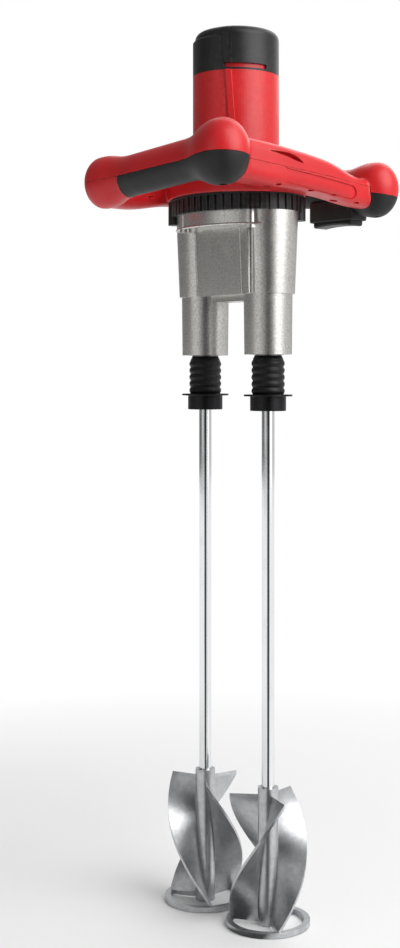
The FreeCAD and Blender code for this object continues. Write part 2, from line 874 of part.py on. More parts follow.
def web_cavity(ledge):
    return web_half_x - gearbox_wall - ledge


def gearbox_housing_piece():
    """Cast housing: flange, two stepped barrels, a web between them and screw bosses."""
    body = oval_prism(flange_half_x, flange_half_y, flange_low_z, collar_low_z)
    taper_top = flange_low_z + gearbox_wall
    solids = []
    cavities = [
        oval_prism(flange_half_x - gearbox_wall, flange_half_y - gearbox_wall,
                   flange_low_z + flange_floor, collar_low_z),
        block(-web_cavity(0.0), web_cavity(0.0), -spindle_pitch / 2, spindle_pitch / 2,
              mid_plate_low_z, collar_low_z),
        block(-web_cavity(plate_ledge), web_cavity(plate_ledge), -spindle_pitch / 2,
              spindle_pitch / 2, barrel_step_z + gearbox_wall, collar_low_z),
    ]
    bearing_top = barrel_step_z + bearing_lift
    for x, y in barrel_spots():
        cone = Part.makeCone(barrel_step_radius, barrel_top_radius, collar_low_z - barrel_step_z,
                             Vector(x, y, barrel_step_z), UP)
        solids.append(cone)
        barrel = Part.makeCone(barrel_low_radius, barrel_low_radius + barrel_draft,
                               barrel_step_z - barrel_low_z, Vector(x, y, barrel_low_z), UP)
        solids.append(barrel)
        seat = spindle_bearing_radius + seat_gap
        cavities += [
            cylinder(upper_cavity_radius(), mid_plate_low_z, collar_low_z, x, y),
            cylinder(lower_cavity_radius(), bearing_top, collar_low_z, x, y),
            cylinder(seat, bearing_top - spindle_bearing_height, bearing_top, x, y),
            cylinder(spindle_radius + gearbox_wall, barrel_low_z, bearing_top, x, y),
            cylinder(seat, barrel_low_z, barrel_low_z + seal_height + spindle_bearing_height, x, y),
        ]
    web_foot_x = web_half_x * barrel_step_radius / barrel_top_radius
    web = Part.makeLoft([level_wire(web_foot_x, spindle_pitch / 2, barrel_step_z),
                         level_wire(web_half_x, spindle_pitch / 2, taper_top)], True, True)
    lip = block(-web_lip_half_x, web_lip_half_x, -spindle_pitch / 2, spindle_pitch / 2,
                barrel_step_z - web_lip, barrel_step_z)
    bosses = [cylinder(boss_radius, flange_low_z - boss_drop, collar_low_z, x, y) for x, y in boss_spots()]
    room = oval_prism(flange_half_x - gearbox_wall, flange_half_y - gearbox_wall,
                      flange_low_z + flange_floor, collar_low_z)
    body = body.fuse(solids + [web, lip] + bosses)
    body = body.cut(cavities)
    posts = [boss.common(room) for boss in bosses]
    body = body.fuse(posts)
    holes = []
    for x, y in boss_spots():
        holes.append(cylinder(screw_radius + seat_gap, flange_low_z - far, collar_low_z, x, y))
        holes.append(cylinder(screw_head_radius + part_gap, flange_low_z - far,
                              flange_low_z - boss_drop + screw_head_height, x, y))
    for x, y in idler_places():
        holes.append(cylinder(idler_pin_radius + seat_gap, barrel_step_z - web_lip,
                              barrel_step_z + gearbox_wall, x, y))
    return body.cut(holes).removeSplitter()


def gear_plate_piece():
    """Oval plate that closes the gearbox and carries the motor's lower bearing."""
    top = plate_top_z()
    plate = oval_prism(collar_half_x - collar_wall - part_gap, collar_half_y - collar_wall - part_gap,
                       collar_low_z, top)
    cup_top = lower_bearing_z() + bearing_height
    plate = plate.fuse(cylinder(motor_bearing_radius + motor_wall, top, cup_top))
    holes = [cylinder(motor_bearing_radius + seat_gap, lower_bearing_z(), cup_top),
             cylinder(shaft_radius + part_gap, collar_low_z, cup_top)]
    lay_x, lay_y = lay_place()
    holes.append(cylinder(lay_shaft_radius + bush_wall + seat_gap, collar_low_z, top, lay_x, lay_y))
    for x, y in barrel_spots():
        holes.append(cylinder(spindle_top_radius + bush_wall + seat_gap, collar_low_z, top, x, y))
    for x, y in boss_spots():
        holes.append(cylinder(screw_radius + seat_gap, collar_low_z, top, x, y))
    return plate.cut(holes)


def mid_plate_piece():
    """Plate on a ledge in the gearbox: steadies the lay shaft and the idler pins."""
    high = mid_plate_low_z + plate_height
    half = web_cavity(0.0) - seat_gap
    plate = block(-half, half, -spindle_pitch / 2, spindle_pitch / 2, mid_plate_low_z, high)
    rounds = [cylinder(upper_cavity_radius() - seat_gap, mid_plate_low_z, high, x, y)
              for x, y in barrel_spots()]
    plate = plate.fuse(rounds).removeSplitter()
    lay_x, lay_y = lay_place()
    holes = [cylinder(lay_shaft_radius + bush_wall + seat_gap, mid_plate_low_z, high, lay_x, lay_y)]
    for x, y in barrel_spots():
        holes.append(cylinder(spindle_radius + part_gap, mid_plate_low_z, high, x, y))
    for x, y in idler_places():
        holes.append(cylinder(idler_pin_radius + seat_gap, mid_plate_low_z, high, x, y))
    return plate.cut(holes)


def involute(angle):
    return math.tan(angle) - angle


def gear(teeth, module, bore, low_z, high_z, place, phase):
    """A spur gear with involute flanks. Phase is the angle of one tooth's middle."""
    pitch = teeth * module / 2
    slant = math.radians(pressure_angle)
    base = pitch * math.cos(slant)
    tip = pitch + module
    root = pitch - root_depth * module
    half_tooth = math.pi / (2 * teeth) - tooth_backlash / (2 * pitch)
    start = max(base, root)
    flank = []
    for step in range(flank_steps + 1):
        radius = start + (tip - start) * step / flank_steps
        roll = math.acos(min(1.0, base / radius))
        flank.append((radius, half_tooth + involute(slant) - involute(roll)))
    if root < base:
        flank.insert(0, (root, flank[0][1]))
    x, y = place
    corners = []
    for tooth in range(teeth):
        middle = phase + 2 * math.pi * tooth / teeth
        side = [(radius, middle - spread) for radius, spread in flank]
        side += [(radius, middle + spread) for radius, spread in reversed(flank)]
        for radius, angle in side:
            corners.append(Vector(x + radius * math.cos(angle), y + radius * math.sin(angle), low_z))
    outline = Part.makePolygon(corners + corners[:1])
    wheel = Part.Face(outline).extrude(Vector(0, 0, high_z - low_z))
    return wheel.cut(cylinder(bore, low_z, high_z, x, y))


def meshed_phase(phase, teeth, place, next_teeth, next_place):
    """Phase that puts the next gear's gap against this gear's tooth on the line of centres."""
    toward = math.atan2(next_place[1] - place[1], next_place[0] - place[0])
    pitches_ahead = (phase - toward) * teeth / (2 * math.pi)
    return toward + math.pi - (pitches_ahead + 0.5) * 2 * math.pi / next_teeth


def gear_train():
    """Every gear of the train, each turned so that it meshes at rest."""
    front, rear = barrel_spots()
    near, away = idler_places()
    lay = lay_place()
    centre = (0.0, 0.0)
    pinion_phase = 0.0
    lay_phase = meshed_phase(pinion_phase, motor_pinion_teeth, centre, lay_gear_teeth, lay)
    drive_phase = meshed_phase(0.0, lay_pinion_teeth, lay, drive_gear_teeth, front)
    near_phase = meshed_phase(0.0, output_gear_teeth, front, idler_gear_teeth, near)
    away_phase = meshed_phase(near_phase, idler_gear_teeth, near, idler_gear_teeth, away)
    rear_phase = meshed_phase(away_phase, idler_gear_teeth, away, output_gear_teeth, rear)
    spindle_bore = spindle_radius + seat_gap
    lay_bore = lay_shaft_radius + seat_gap
    idler_bore = idler_pin_radius + running_gap
    output = (output_low_z, output_high_z)
    slow = (slow_low_z, slow_high_z)
    fast = (fast_low_z, fast_high_z)
    return {
        "motor_pinion": gear(motor_pinion_teeth, fast_module, pinion_bore + seat_gap, *fast, centre,
                             pinion_phase),
        "lay_gear": gear(lay_gear_teeth, fast_module, lay_bore, *fast, lay, lay_phase),
        "lay_pinion": gear(lay_pinion_teeth, slow_module, lay_bore, *slow, lay, 0.0),
        "drive_gear": gear(drive_gear_teeth, slow_module, spindle_bore, *slow, front, drive_phase),
        "front_output_gear": gear(output_gear_teeth, slow_module, spindle_bore, *output, front, 0.0),
        "front_idler_gear": gear(idler_gear_teeth, slow_module, idler_bore, *output, near, near_phase),
        "rear_idler_gear": gear(idler_gear_teeth, slow_module, idler_bore, *output, away, away_phase),
        "rear_output_gear": gear(output_gear_teeth, slow_module, spindle_bore, *output, rear, rear_phase),
    }


def shaft_support_pieces():
    """Lay shaft and bushes, idler pins, spindle bushes, spindle bearings and oil seals."""
    lay_x, lay_y = lay_place()
    top = plate_top_z()
    lay_shaft = cylinder(lay_shaft_radius, mid_plate_low_z, top, lay_x, lay_y)
    lay_bushes = []
    for low in (mid_plate_low_z, collar_low_z):
        lay_bushes.append(tube(lay_shaft_radius + bush_wall, lay_shaft_radius + running_gap,
                               low, low + plate_height, lay_x, lay_y))
    pins = [cylinder(idler_pin_radius, barrel_step_z, mid_plate_low_z + plate_height, x, y)
            for x, y in idler_places()]
    bushes = []
    bearings = []
    seals = []
    bore = spindle_radius + running_gap
    high_bearing = barrel_step_z + bearing_lift - spindle_bearing_height
    low_bearing = barrel_low_z + seal_height
    for x, y in barrel_spots():
        bushes.append(tube(spindle_top_radius + bush_wall, spindle_top_radius + running_gap,
                           collar_low_z, top, x, y))
        for low in (high_bearing, low_bearing):
            bearings.append(bearing_ring(spindle_bearing_radius, bore, low, spindle_bearing_height, x, y))
        seals.append(tube(spindle_bearing_radius, bore, barrel_low_z, low_bearing, x, y))
    groups = [Part.makeCompound(group) for group in (lay_bushes, pins, bushes, bearings, seals)]
    return [lay_shaft] + groups


def ball_ring_radius():
    return rod_radius - ball_bite + ball_radius


def spindle_piece(x, y):
    """Output spindle: slim journal, gear seat, shoulder and the socket that takes the rod."""
    neck_z = fast_low_z - sliding_gap
    spindle = cylinder(spindle_top_radius, neck_z, plate_top_z(), x, y)
    spindle = spindle.fuse([
        cylinder(spindle_radius, barrel_low_z, neck_z, x, y),
        cylinder(spindle_radius, shoulder_top_z(), barrel_low_z, x, y),
        cylinder(shoulder_radius, shoulder_low_z, shoulder_top_z(), x, y),
        cylinder(socket_radius, socket_low_z, shoulder_low_z, x, y),
    ]).removeSplitter()
    holes = [cylinder(rod_radius + running_gap, socket_low_z, rod_top_z + sliding_gap, x, y)]
    for index in range(balls_per_coupling):
        hole = Part.makeCylinder(ball_radius + running_gap, far, Vector(0, 0, ball_z), Vector(1, 0, 0))
        hole.rotate(Vector(0, 0, 0), UP, index * FULL_TURN / balls_per_coupling)
        hole.translate(Vector(x, y, 0))
        holes.append(hole)
    return spindle.cut(holes)


def shoulder_top_z():
    return barrel_low_z - part_gap


def ball_group(x, y):
    balls = []
    for index in range(balls_per_coupling):
        turn = 2 * math.pi * index / balls_per_coupling
        centre = Vector(x + ball_ring_radius() * math.cos(turn), y + ball_ring_radius() * math.sin(turn),
                        ball_z)
        balls.append(Part.makeSphere(ball_radius, centre))
    return Part.makeCompound(balls)


def sleeve_piece(x, y):
    """Release sleeve: neck, wide finger flange and cup, with a groove that frees the balls."""
    flange_low = sleeve_flange_z - sleeve_flange_height
    sleeve = cylinder(shoulder_radius, flange_low, sleeve_neck_top_z, x, y).fuse([
        cylinder(sleeve_flange_radius, flange_low, sleeve_flange_z, x, y),
        cylinder(sleeve_cup_radius, sleeve_low_z, flange_low, x, y)]).removeSplitter()
    groove_mid = ball_z - sleeve_travel
    holes = [cylinder(socket_radius + sliding_gap, sleeve_low_z, sleeve_neck_top_z, x, y),
             cylinder(socket_radius + release_groove, groove_mid - ball_radius - sliding_gap,
                      groove_mid + ball_radius + sliding_gap, x, y)]
    return sleeve.cut(holes)


def bellows_piece(x, y):
    """Rubber bellows: a tapered top and round ribs, resting on the sleeve's flange."""
    first_peak_z = bellows_top_z - bellows_taper
    low_z = sleeve_flange_z + seat_gap
    pitch = (first_peak_z - low_z) / (bellows_ribs - 0.5)
    middle = (bellows_radius + bellows_valley) / 2
    swing = (bellows_radius - bellows_valley) / 2
    outside = [(shoulder_radius + bellows_wall + part_gap, bellows_top_z)]
    steps = int((bellows_ribs - 0.5) * 2 * rib_points)
    for step in range(steps + 1):
        z = first_peak_z - (first_peak_z - low_z) * step / steps
        turn = 2 * math.pi * (first_peak_z - z) / pitch
        outside.append((middle + swing * math.cos(turn), z))
    inside = [(radius - bellows_wall, z) for radius, z in reversed(outside)]
    return spin_profile(outside + inside, x, y)


def coupling_spring_piece(x, y):
    radius = socket_radius + sliding_gap + spring_wire
    return coil_spring(radius, spring_wire, spring_turns, sleeve_neck_top_z + running_gap,
                       shoulder_low_z - running_gap, x, y)


def rod_piece(x, y):
    """Bright mixing rod with a groove for the locking balls."""
    rod = cylinder(rod_radius, paddle_low_z, rod_top_z, x, y)
    groove = Part.makeTorus(ball_ring_radius(), ball_radius + running_gap, Vector(x, y, ball_z), UP)
    return rod.cut(groove)


def paddle_piece(x, y, left_handed):
    """Welded mixing paddle: hub, helical blades and a foot ring."""
    hub = cylinder(paddle_hub_radius, paddle_low_z, paddle_top_z)
    ring = tube(paddle_radius, paddle_radius - ring_width, paddle_low_z, paddle_low_z + ring_height)
    height = paddle_top_z - paddle_low_z - blade_thickness - hub_stand
    near = paddle_hub_radius - shell_wall
    reach = paddle_radius - ring_width / 2
    hand = -1 if left_handed else 1
    sections = []
    for step in range(blade_steps + 1):
        z = paddle_low_z + blade_lift + height * step / blade_steps
        corners = [Vector(near, 0, z), Vector(reach, 0, z), Vector(reach, 0, z + blade_thickness),
                   Vector(near, 0, z + blade_thickness)]
        section = Part.makePolygon(corners + corners[:1])
        section.rotate(Vector(0, 0, 0), UP, hand * paddle_twist * step / blade_steps)
        sections.append(section)
    first_blade = Part.makeLoft(sections, True, False)
    blades = []
    for index in range(paddle_blades):
        blade = first_blade.copy()
        blade.rotate(Vector(0, 0, 0), UP, index * FULL_TURN / paddle_blades)
        blades.append(blade)
    paddle = hub.fuse([ring] + blades)
    paddle = paddle.cut(cylinder(rod_radius + seat_gap, paddle_low_z, paddle_top_z))
    paddle.translate(Vector(x, y, 0))
    return paddle


def gearbox_screw_group():
    screws = []
    for x, y in boss_spots():
        seat = flange_low_z - boss_drop + screw_head_height
        head = cylinder(screw_head_radius, seat - screw_head_height, seat, x, y)
        socket = cylinder(screw_radius, seat - screw_head_height, seat - screw_head_height / 2, x, y)
        shank = cylinder(screw_radius, seat, plate_top_z(), x, y)
        screws.append(head.cut(socket).fuse(shank).removeSplitter())
    return Part.makeCompound(screws)


def build():
    """Make every piece and return them by node name."""
    pieces = {}
    handle_names = ("upper_handle_shell", "lower_handle_shell", "left_grip_pad", "right_grip_pad")
    pieces.update(zip(handle_names, handle_pieces()))
    pieces["motor_housing"] = motor_housing_piece()
    pieces["motor_end_cap"] = end_cap_piece()
    pieces.update(zip(("armature_shaft", "armature_core", "commutator", "cooling_fan"),
                      armature_pieces()))
    pieces.update(zip(("stator_core", "field_windings"), stator_pieces()))
    pieces.update(zip(("bearing_bracket", "motor_bearings", "brush_holders", "carbon_brushes"),
                      motor_support_pieces()))
    pieces["vent_collar"] = vent_collar_piece()
    pieces["gearbox_housing"] = gearbox_housing_piece()
    pieces["gear_plate"] = gear_plate_piece()
    pieces["mid_plate"] = mid_plate_piece()
    pieces.update(gear_train())
    support_names = ("lay_shaft", "lay_bushes", "idler_pins", "spindle_bushes", "spindle_bearings",
                     "oil_seals")
    pieces.update(zip(support_names, shaft_support_pieces()))
    for side, spot in zip(("front", "rear"), barrel_spots()):
        pieces[side + "_spindle"] = spindle_piece(*spot)
        pieces[side + "_locking_balls"] = ball_group(*spot)
        pieces[side + "_release_sleeve"] = sleeve_piece(*spot)
        pieces[side + "_bellows"] = bellows_piece(*spot)
        pieces[side + "_coupling_spring"] = coupling_spring_piece(*spot)
        pieces[side + "_mixing_rod"] = rod_piece(*spot)
        pieces[side + "_mixing_paddle"] = paddle_piece(*spot, side == "rear")
    pieces["trigger"] = trigger_piece()
    pieces["trigger_spring"] = coil_spring(trigger_spring_radius, trigger_wire, trigger_turns,
                                           spring_seat_z(), switch_low_z(), grip_x, trigger_mid_y())
    pieces["switch_body"] = switch_piece()
    pieces["lock_button"] = lock_button_piece()
    pieces["cable_gland"] = gland_piece()
    pieces["handle_screws"] = handle_screw_group()
    pieces["gearbox_screws"] = gearbox_screw_group()
    return pieces


if __name__ == "__main__":
    os.makedirs("parts", exist_ok=True)
    for node, shape in build().items():
        shape.exportStep("parts/" + node + ".step")
        print(node, len(shape.Solids), shape.isValid(), round(shape.Volume))
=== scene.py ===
# %% [markdown]
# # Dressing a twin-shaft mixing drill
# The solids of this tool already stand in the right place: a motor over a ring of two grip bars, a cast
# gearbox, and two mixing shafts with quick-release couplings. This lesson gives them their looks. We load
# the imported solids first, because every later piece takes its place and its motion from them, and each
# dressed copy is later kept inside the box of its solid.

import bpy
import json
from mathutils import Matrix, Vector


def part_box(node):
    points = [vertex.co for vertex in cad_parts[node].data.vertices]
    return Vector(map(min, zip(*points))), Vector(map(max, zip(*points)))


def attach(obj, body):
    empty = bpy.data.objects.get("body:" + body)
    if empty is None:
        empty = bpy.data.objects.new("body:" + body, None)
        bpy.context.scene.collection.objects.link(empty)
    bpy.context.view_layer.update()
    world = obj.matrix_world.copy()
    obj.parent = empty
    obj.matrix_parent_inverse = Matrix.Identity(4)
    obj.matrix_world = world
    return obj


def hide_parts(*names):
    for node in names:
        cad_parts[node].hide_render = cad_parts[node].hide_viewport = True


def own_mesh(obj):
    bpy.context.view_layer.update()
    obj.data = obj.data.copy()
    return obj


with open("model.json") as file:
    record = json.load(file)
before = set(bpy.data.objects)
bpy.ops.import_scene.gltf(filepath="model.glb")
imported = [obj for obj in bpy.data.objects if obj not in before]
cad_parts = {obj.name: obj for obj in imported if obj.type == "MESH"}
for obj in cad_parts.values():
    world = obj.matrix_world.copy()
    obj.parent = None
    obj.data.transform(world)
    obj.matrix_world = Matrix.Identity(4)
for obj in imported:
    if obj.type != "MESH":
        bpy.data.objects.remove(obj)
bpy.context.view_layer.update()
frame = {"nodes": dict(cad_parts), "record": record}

# %% [markdown]
# ## Small tools for every step
# Sizes are written in millimetres, as on a drawing, and Blender works in metres, so one factor turns the
# one into the other. A finished piece is an object at the origin with its place in its mesh. The helpers
# below turn a worked shape into a mesh, link it, run its modifiers, and file it: it then moves with a body
# of the tool, and may stand for a solid.

# %% Units and the helpers that make and file a piece
import json
import math

import bmesh
import bpy
import numpy as np
from bpy_extras.mesh_utils import mesh_linked_triangles
from mathutils import Vector

MM = 0.001
UP = Vector((0, 0, 1))


def plain_mesh(shape, name):
    """Turn a worked bmesh into a mesh."""
    mesh = bpy.data.meshes.new(name)
    shape.to_mesh(mesh)
    shape.free()
    return mesh


def linked(name, data):
    """A new object in the scene, at the origin."""
    thing = bpy.data.objects.new(name, data)
    bpy.context.scene.collection.objects.link(thing)
    return thing


def take_result(holder):
    """Run an object's modifiers, and return the result as a plain mesh without the object."""
    name = holder.name
    graph = bpy.context.evaluated_depsgraph_get()
    result = bpy.data.meshes.new_from_object(holder.evaluated_get(graph))
    holder.modifiers.clear()
    bpy.data.objects.remove(holder)
    result.name = name
    return result


def file_piece(name, mesh, body, stands_for=()):
    """Link a mesh as a piece that rides on a body, and count its triangles."""
    piece = linked(name, mesh)
    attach(piece, body)
    if stands_for:
        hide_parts(*stands_for)
    mesh.calc_loop_triangles()
    print(name, "rides on", body, "with", len(mesh.loop_triangles), "triangles")
    return piece


# %% [markdown]
# ## Shader groups: grain, handling marks, and edge wear with a painted highlight
# Moulded plastic, rubber and castings never have one even colour. Three effects come back in most of the
# finishes: a fine grain from the mould, faint marks from handling and dust, and convex edges a little
# brighter, partly from wear and partly as a painted highlight. Each is a node group with named inputs,
# built once, so that every material can place it with its own values. The groups only put out masks and
# heights; the shader itself stays in the material.

# %% Node helpers and the three groups
def add_node(tree, kind, inputs=None, **settings):
    """Add a node, make its settings, then fill its sockets with values or links."""
    node = tree.nodes.new(kind)
    for name, value in settings.items():
        setattr(node, name, value)
    for name, value in (inputs or {}).items():
        if isinstance(value, bpy.types.NodeSocket):
            tree.links.new(value, node.inputs[name])
        else:
            node.inputs[name].default_value = value
    return node


def new_group(name, inputs, outputs):
    """Start a shader group with float sockets, and return it with its ends and the object's own place."""
    group = bpy.data.node_groups.new(name, "ShaderNodeTree")
    for label, value in inputs.items():
        socket = group.interface.new_socket(label, in_out="INPUT", socket_type="NodeSocketFloat")
        socket.default_value = value
    for label in outputs:
        group.interface.new_socket(label, in_out="OUTPUT", socket_type="NodeSocketFloat")
    given = group.nodes.new("NodeGroupInput").outputs
    end = group.nodes.new("NodeGroupOutput").inputs
    return group, given, end, add_node(group, "ShaderNodeTexCoord").outputs["Object"]


def noise(tree, coordinates, scale, detail, roughness):
    node = add_node(tree, "ShaderNodeTexNoise",
                    {"Vector": coordinates, "Scale": scale, "Detail": detail, "Roughness": roughness})
    return node.outputs["Fac"]


def math_node(tree, operation, first, second=0.0, third=0.0):
    node = add_node(tree, "ShaderNodeMath", {0: first, 1: second, 2: third}, operation=operation)
    return node.outputs[0]


def ramp(tree, value, low, high):
    """Stretch the part of a value between low and high to run from 0 to 1."""
    node = add_node(tree, "ShaderNodeMapRange", {"Value": value, "From Min": low, "From Max": high})
    return node.outputs["Result"]


def build_grain_group():
    group, given, end, place = new_group("moulded_grain", {"Grain Scale": 1500.0, "Cloud Scale": 22.0},
                                         ["Height", "Cloud"])
    fine = noise(group, place, given["Grain Scale"], detail=3.0, roughness=0.6)
    cloud = noise(group, place, given["Cloud Scale"], detail=4.0, roughness=0.55)
    group.links.new(fine, end["Height"])
    group.links.new(cloud, end["Cloud"])
    return group


def build_marks_group():
    group, given, end, place = new_group("handling_marks", {"Mark Scale": 60.0, "Dust": 0.5},
                                         ["Smudge", "Dust"])
    marks = noise(group, place, given["Mark Scale"], detail=5.0, roughness=0.62)
    specks = noise(group, place, 420.0, detail=4.0, roughness=0.7)
    facing = add_node(group, "ShaderNodeSeparateXYZ",
                      {0: add_node(group, "ShaderNodeNewGeometry").outputs["Normal"]}).outputs["Z"]
    settled = math_node(group, "MULTIPLY", ramp(group, facing, low=0.2, high=1.0), given["Dust"])
    dust = math_node(group, "MULTIPLY", settled, ramp(group, specks, low=0.48, high=0.75))
    group.links.new(ramp(group, marks, low=0.52, high=0.78), end["Smudge"])
    group.links.new(dust, end["Dust"])
    return group


def build_edge_wear_and_sheen_group():
    # The mask lightens convex edges in patches: partly wear, partly a painted highlight.
    group, given, end, place = new_group("sheen_and_wear_edges", {"Break Up": 240.0}, ["Mask"])
    edge = add_node(group, "ShaderNodeAttribute", attribute_name="edge_wear_and_sheen").outputs["Fac"]
    sheen_and_wear_patches = noise(group, place, given["Break Up"], detail=4.0, roughness=0.65)
    patchy = math_node(group, "MULTIPLY", edge, ramp(group, sheen_and_wear_patches, low=0.38, high=0.62))
    group.links.new(patchy, end["Mask"])
    return group


grain_group = build_grain_group()
marks_group = build_marks_group()
edge_wear_and_sheen_group = build_edge_wear_and_sheen_group()
print("shader groups:", [group.name for group in bpy.data.node_groups])

# %% [markdown]
# ## Finishes
# Two kinds of recipe cover the whole tool. A moulded finish is a coloured plastic or rubber with a grain
# you feel more than you see. A metal finish is a bare metal whose surface tells how it was made: cast and
# shot blasted, drawn, turned or plated. Only what changes over the surface is linked; a value that is the
# same everywhere is set on the shader's own socket, so that the exported model keeps it.

# %% The two recipes
dust_colour = (0.55, 0.53, 0.5, 1.0)


def place_group(tree, group, **values):
    node = add_node(tree, "ShaderNodeGroup", node_tree=group)
    for name, value in values.items():
        node.inputs[name.replace("_", " ").title()].default_value = value
    return node


def mix_colour(tree, mask, share, first, second):
    """Mix two colours by a share of a mask."""
    factor = math_node(tree, "MULTIPLY", mask, share)
    node = add_node(tree, "ShaderNodeMix", {0: factor, 6: first, 7: second}, data_type="RGBA")
    return node.outputs[2]


def start_material(name):
    material = bpy.data.materials.new(name)
    material.use_nodes = True
    return material, material.node_tree, material.node_tree.nodes["Principled BSDF"]


def scaled(colour, factor):
    return [min(1.0, factor * part) for part in colour[:3]] + [1.0]


def link_surface(tree, shader, colour, roughness, height, depth, distance):
    """Link what varies over a surface: its colour, its roughness and its fine relief."""
    bump = add_node(tree, "ShaderNodeBump", {"Height": height, "Strength": depth, "Distance": distance})
    tree.links.new(colour, shader.inputs["Base Color"])
    tree.links.new(roughness, shader.inputs["Roughness"])
    tree.links.new(bump.outputs["Normal"], shader.inputs["Normal"])


def moulded(name, colour, sheen_and_wear, rough, grain, depth, dust=0.25, specular=0.5):
    """Plastic or rubber from a mould: grain, faint clouds, smudges, dust, and convex edges lightened,
    partly as wear and partly as a painted highlight.
    """
    cloud_spread = 0.12
    smudge_polish = -0.09
    material, tree, shader = start_material(name)
    fine = place_group(tree, grain_group, grain_scale=grain).outputs
    marks = place_group(tree, marks_group, dust=dust).outputs
    edge_wear_and_sheen = place_group(tree, edge_wear_and_sheen_group).outputs
    cloud = ramp(tree, fine["Cloud"], low=0.35, high=0.65)
    tone = mix_colour(tree, cloud, 1.0, scaled(colour, 0.9), colour)
    # Convex edges take the lighter second colour here: partly wear, partly a painted highlight.
    sheen_and_wear_patches = mix_colour(tree, edge_wear_and_sheen["Mask"], 0.45, tone, sheen_and_wear)
    dusty = mix_colour(tree, marks["Dust"], 0.22, sheen_and_wear_patches, dust_colour)
    cloudy = math_node(tree, "MULTIPLY_ADD", fine["Cloud"], cloud_spread, rough - cloud_spread / 2)
    polished = math_node(tree, "MULTIPLY_ADD", marks["Smudge"], smudge_polish, cloudy)
    link_surface(tree, shader, dusty, polished, fine["Height"], depth, distance=0.0004)
    shader.inputs["Specular IOR Level"].default_value = specular
    return material


def metal(name, colour, dark, rough, grain, depth, stretch=(1.0, 1.0, 1.0), speckle=0.5):
    """Bare metal: speckle from casting or fine lines from drawing, set by how the grain is stretched."""
    grain_spread = 0.14
    smudge_haze = 0.08
    material, tree, shader = start_material(name)
    place = add_node(tree, "ShaderNodeTexCoord").outputs["Object"]
    drawn = add_node(tree, "ShaderNodeMapping", {"Vector": place, "Scale": stretch}).outputs["Vector"]
    fine = noise(tree, drawn, grain, detail=3.0, roughness=0.65)
    smudge = place_group(tree, marks_group, mark_scale=45.0).outputs["Smudge"]
    edge_wear_and_sheen = place_group(tree, edge_wear_and_sheen_group).outputs
    tone = mix_colour(tree, ramp(tree, fine, low=0.35, high=0.68), speckle, colour, dark)
    stained = mix_colour(tree, smudge, 0.3, tone, dark)
    # Convex edges are lightened here: partly wear, partly a painted highlight.
    sheen_and_wear_patches = mix_colour(tree, edge_wear_and_sheen["Mask"], 0.6, stained, scaled(colour, 1.18))
    shader.inputs["Metallic"].default_value = 1.0
    spread = math_node(tree, "MULTIPLY_ADD", fine, grain_spread, rough - grain_spread / 2)
    smoky = math_node(tree, "MULTIPLY_ADD", smudge, smudge_haze, spread)
    link_surface(tree, shader, sheen_and_wear_patches, smoky, fine, depth, distance=0.0005)
    return material


# %% Every finish of the tool
# After the two colours come roughness, grain to the metre and its depth. A moulded row may add dust and
# shine, a metal one how far the grain is stretched along each axis and how strong its speckle is.
# In a moulded row the second colour goes on convex edges: partly wear, partly a painted highlight.
finishes = {
    "red_shell": moulded("red_moulded_plastic", (0.62, 0.012, 0.016, 1), (0.80, 0.13, 0.12, 1),
                         0.38, 1500.0, 0.16, 0.15, 0.45),
    "black_plastic": moulded("black_moulded_plastic", (0.0095, 0.0096, 0.0098, 1), (0.11, 0.11, 0.11, 1),
                             0.42, 1300.0, 0.22, 0.15, 0.4),
    "grip_pad": moulded("soft_touch_overmould", (0.011, 0.011, 0.0115, 1), (0.045, 0.045, 0.045, 1),
                        0.52, 900.0, 0.35, 0.2, 0.35),
    "soft_rubber": moulded("black_rubber", (0.006, 0.006, 0.006, 1), (0.02, 0.02, 0.02, 1),
                           0.46, 1100.0, 0.2, 0.15, 0.25),
    "cast_aluminium": metal("shot_blasted_casting", (0.75, 0.74, 0.71, 1), (0.43, 0.42, 0.40, 1),
                            0.31, 560.0, 0.2, speckle=0.85),
    "coupling_sleeve": metal("black_oxide_steel", (0.03, 0.03, 0.032, 1), (0.012, 0.012, 0.012, 1),
                             0.38, 900.0, 0.15),
    "bright_rod": metal("bright_drawn_steel", (0.84, 0.85, 0.86, 1), (0.68, 0.69, 0.71, 1),
                        0.11, 700.0, 0.03, (1.0, 1.0, 0.02), 0.3),
    "plain_steel": metal("turned_steel", (0.56, 0.56, 0.57, 1), (0.34, 0.34, 0.35, 1),
                         0.32, 900.0, 0.12, (1.0, 1.0, 3.0)),
    "paddle_steel": metal("zinc_plated_steel", (0.58, 0.59, 0.60, 1), (0.34, 0.35, 0.37, 1),
                          0.34, 160.0, 0.12),
    "copper_alloy": metal("copper_alloy", (0.78, 0.43, 0.22, 1), (0.45, 0.22, 0.1, 1),
                          0.35, 600.0, 0.15),
    "carbon": moulded("pressed_carbon", (0.02, 0.02, 0.022, 1), (0.08, 0.08, 0.08, 1),
                      0.55, 1200.0, 0.3),
}
for entry in frame["record"]["subparts"]:
    mesh = frame["nodes"][entry["node"]].data
    mesh.materials.clear()
    mesh.materials.append(finishes[entry["material_slot"]])
print("finishes:", len(finishes), "set on", len(frame["nodes"]), "solids")

# %% [markdown]
# ## The handle ring
# The ring is moulded in one flowing form: two grip bars with bulbous ends, two cross arms, and a body
# that swells out of the motor's foot. Sharp meetings between plain solids would give the looks of blocks
# pushed together. So we draw the five forms as closed meshes, melt them into one skin with a voxel
# remesh, and smooth that a little: the creases fill up to soft fillets, as the mould has them. The
# stations below repeat the solids' sizes, so the skin lies where the solid does.

# %% Sizes of the ring
grip_x = 104.0
grip_front_y = -95.0
grip_back_y = 79.0
grip_tall = 1.26
waist_radius = 16.0
neck_length = 46.0
left_bar = {"x": -grip_x, "front_z": 8.5, "back_z": -4.0, "front": 24.5, "back": 20.5}
right_bar = {"x": grip_x, "front_z": -9.0, "back_z": 8.0, "front": 22.0, "back": 22.5}
arm_corner = 10.0
arm_front_y = -90.0
arm_back_y = 76.0
motor_radius = 43.0
collar_top_z = -18.0
split_left_front_z = 3.4
left_pad_end_y = 40.0
right_pad_end_y = 46.0
right_pad_drop = 6.0
pad_margin = 0.6
skin_voxel = 1.4


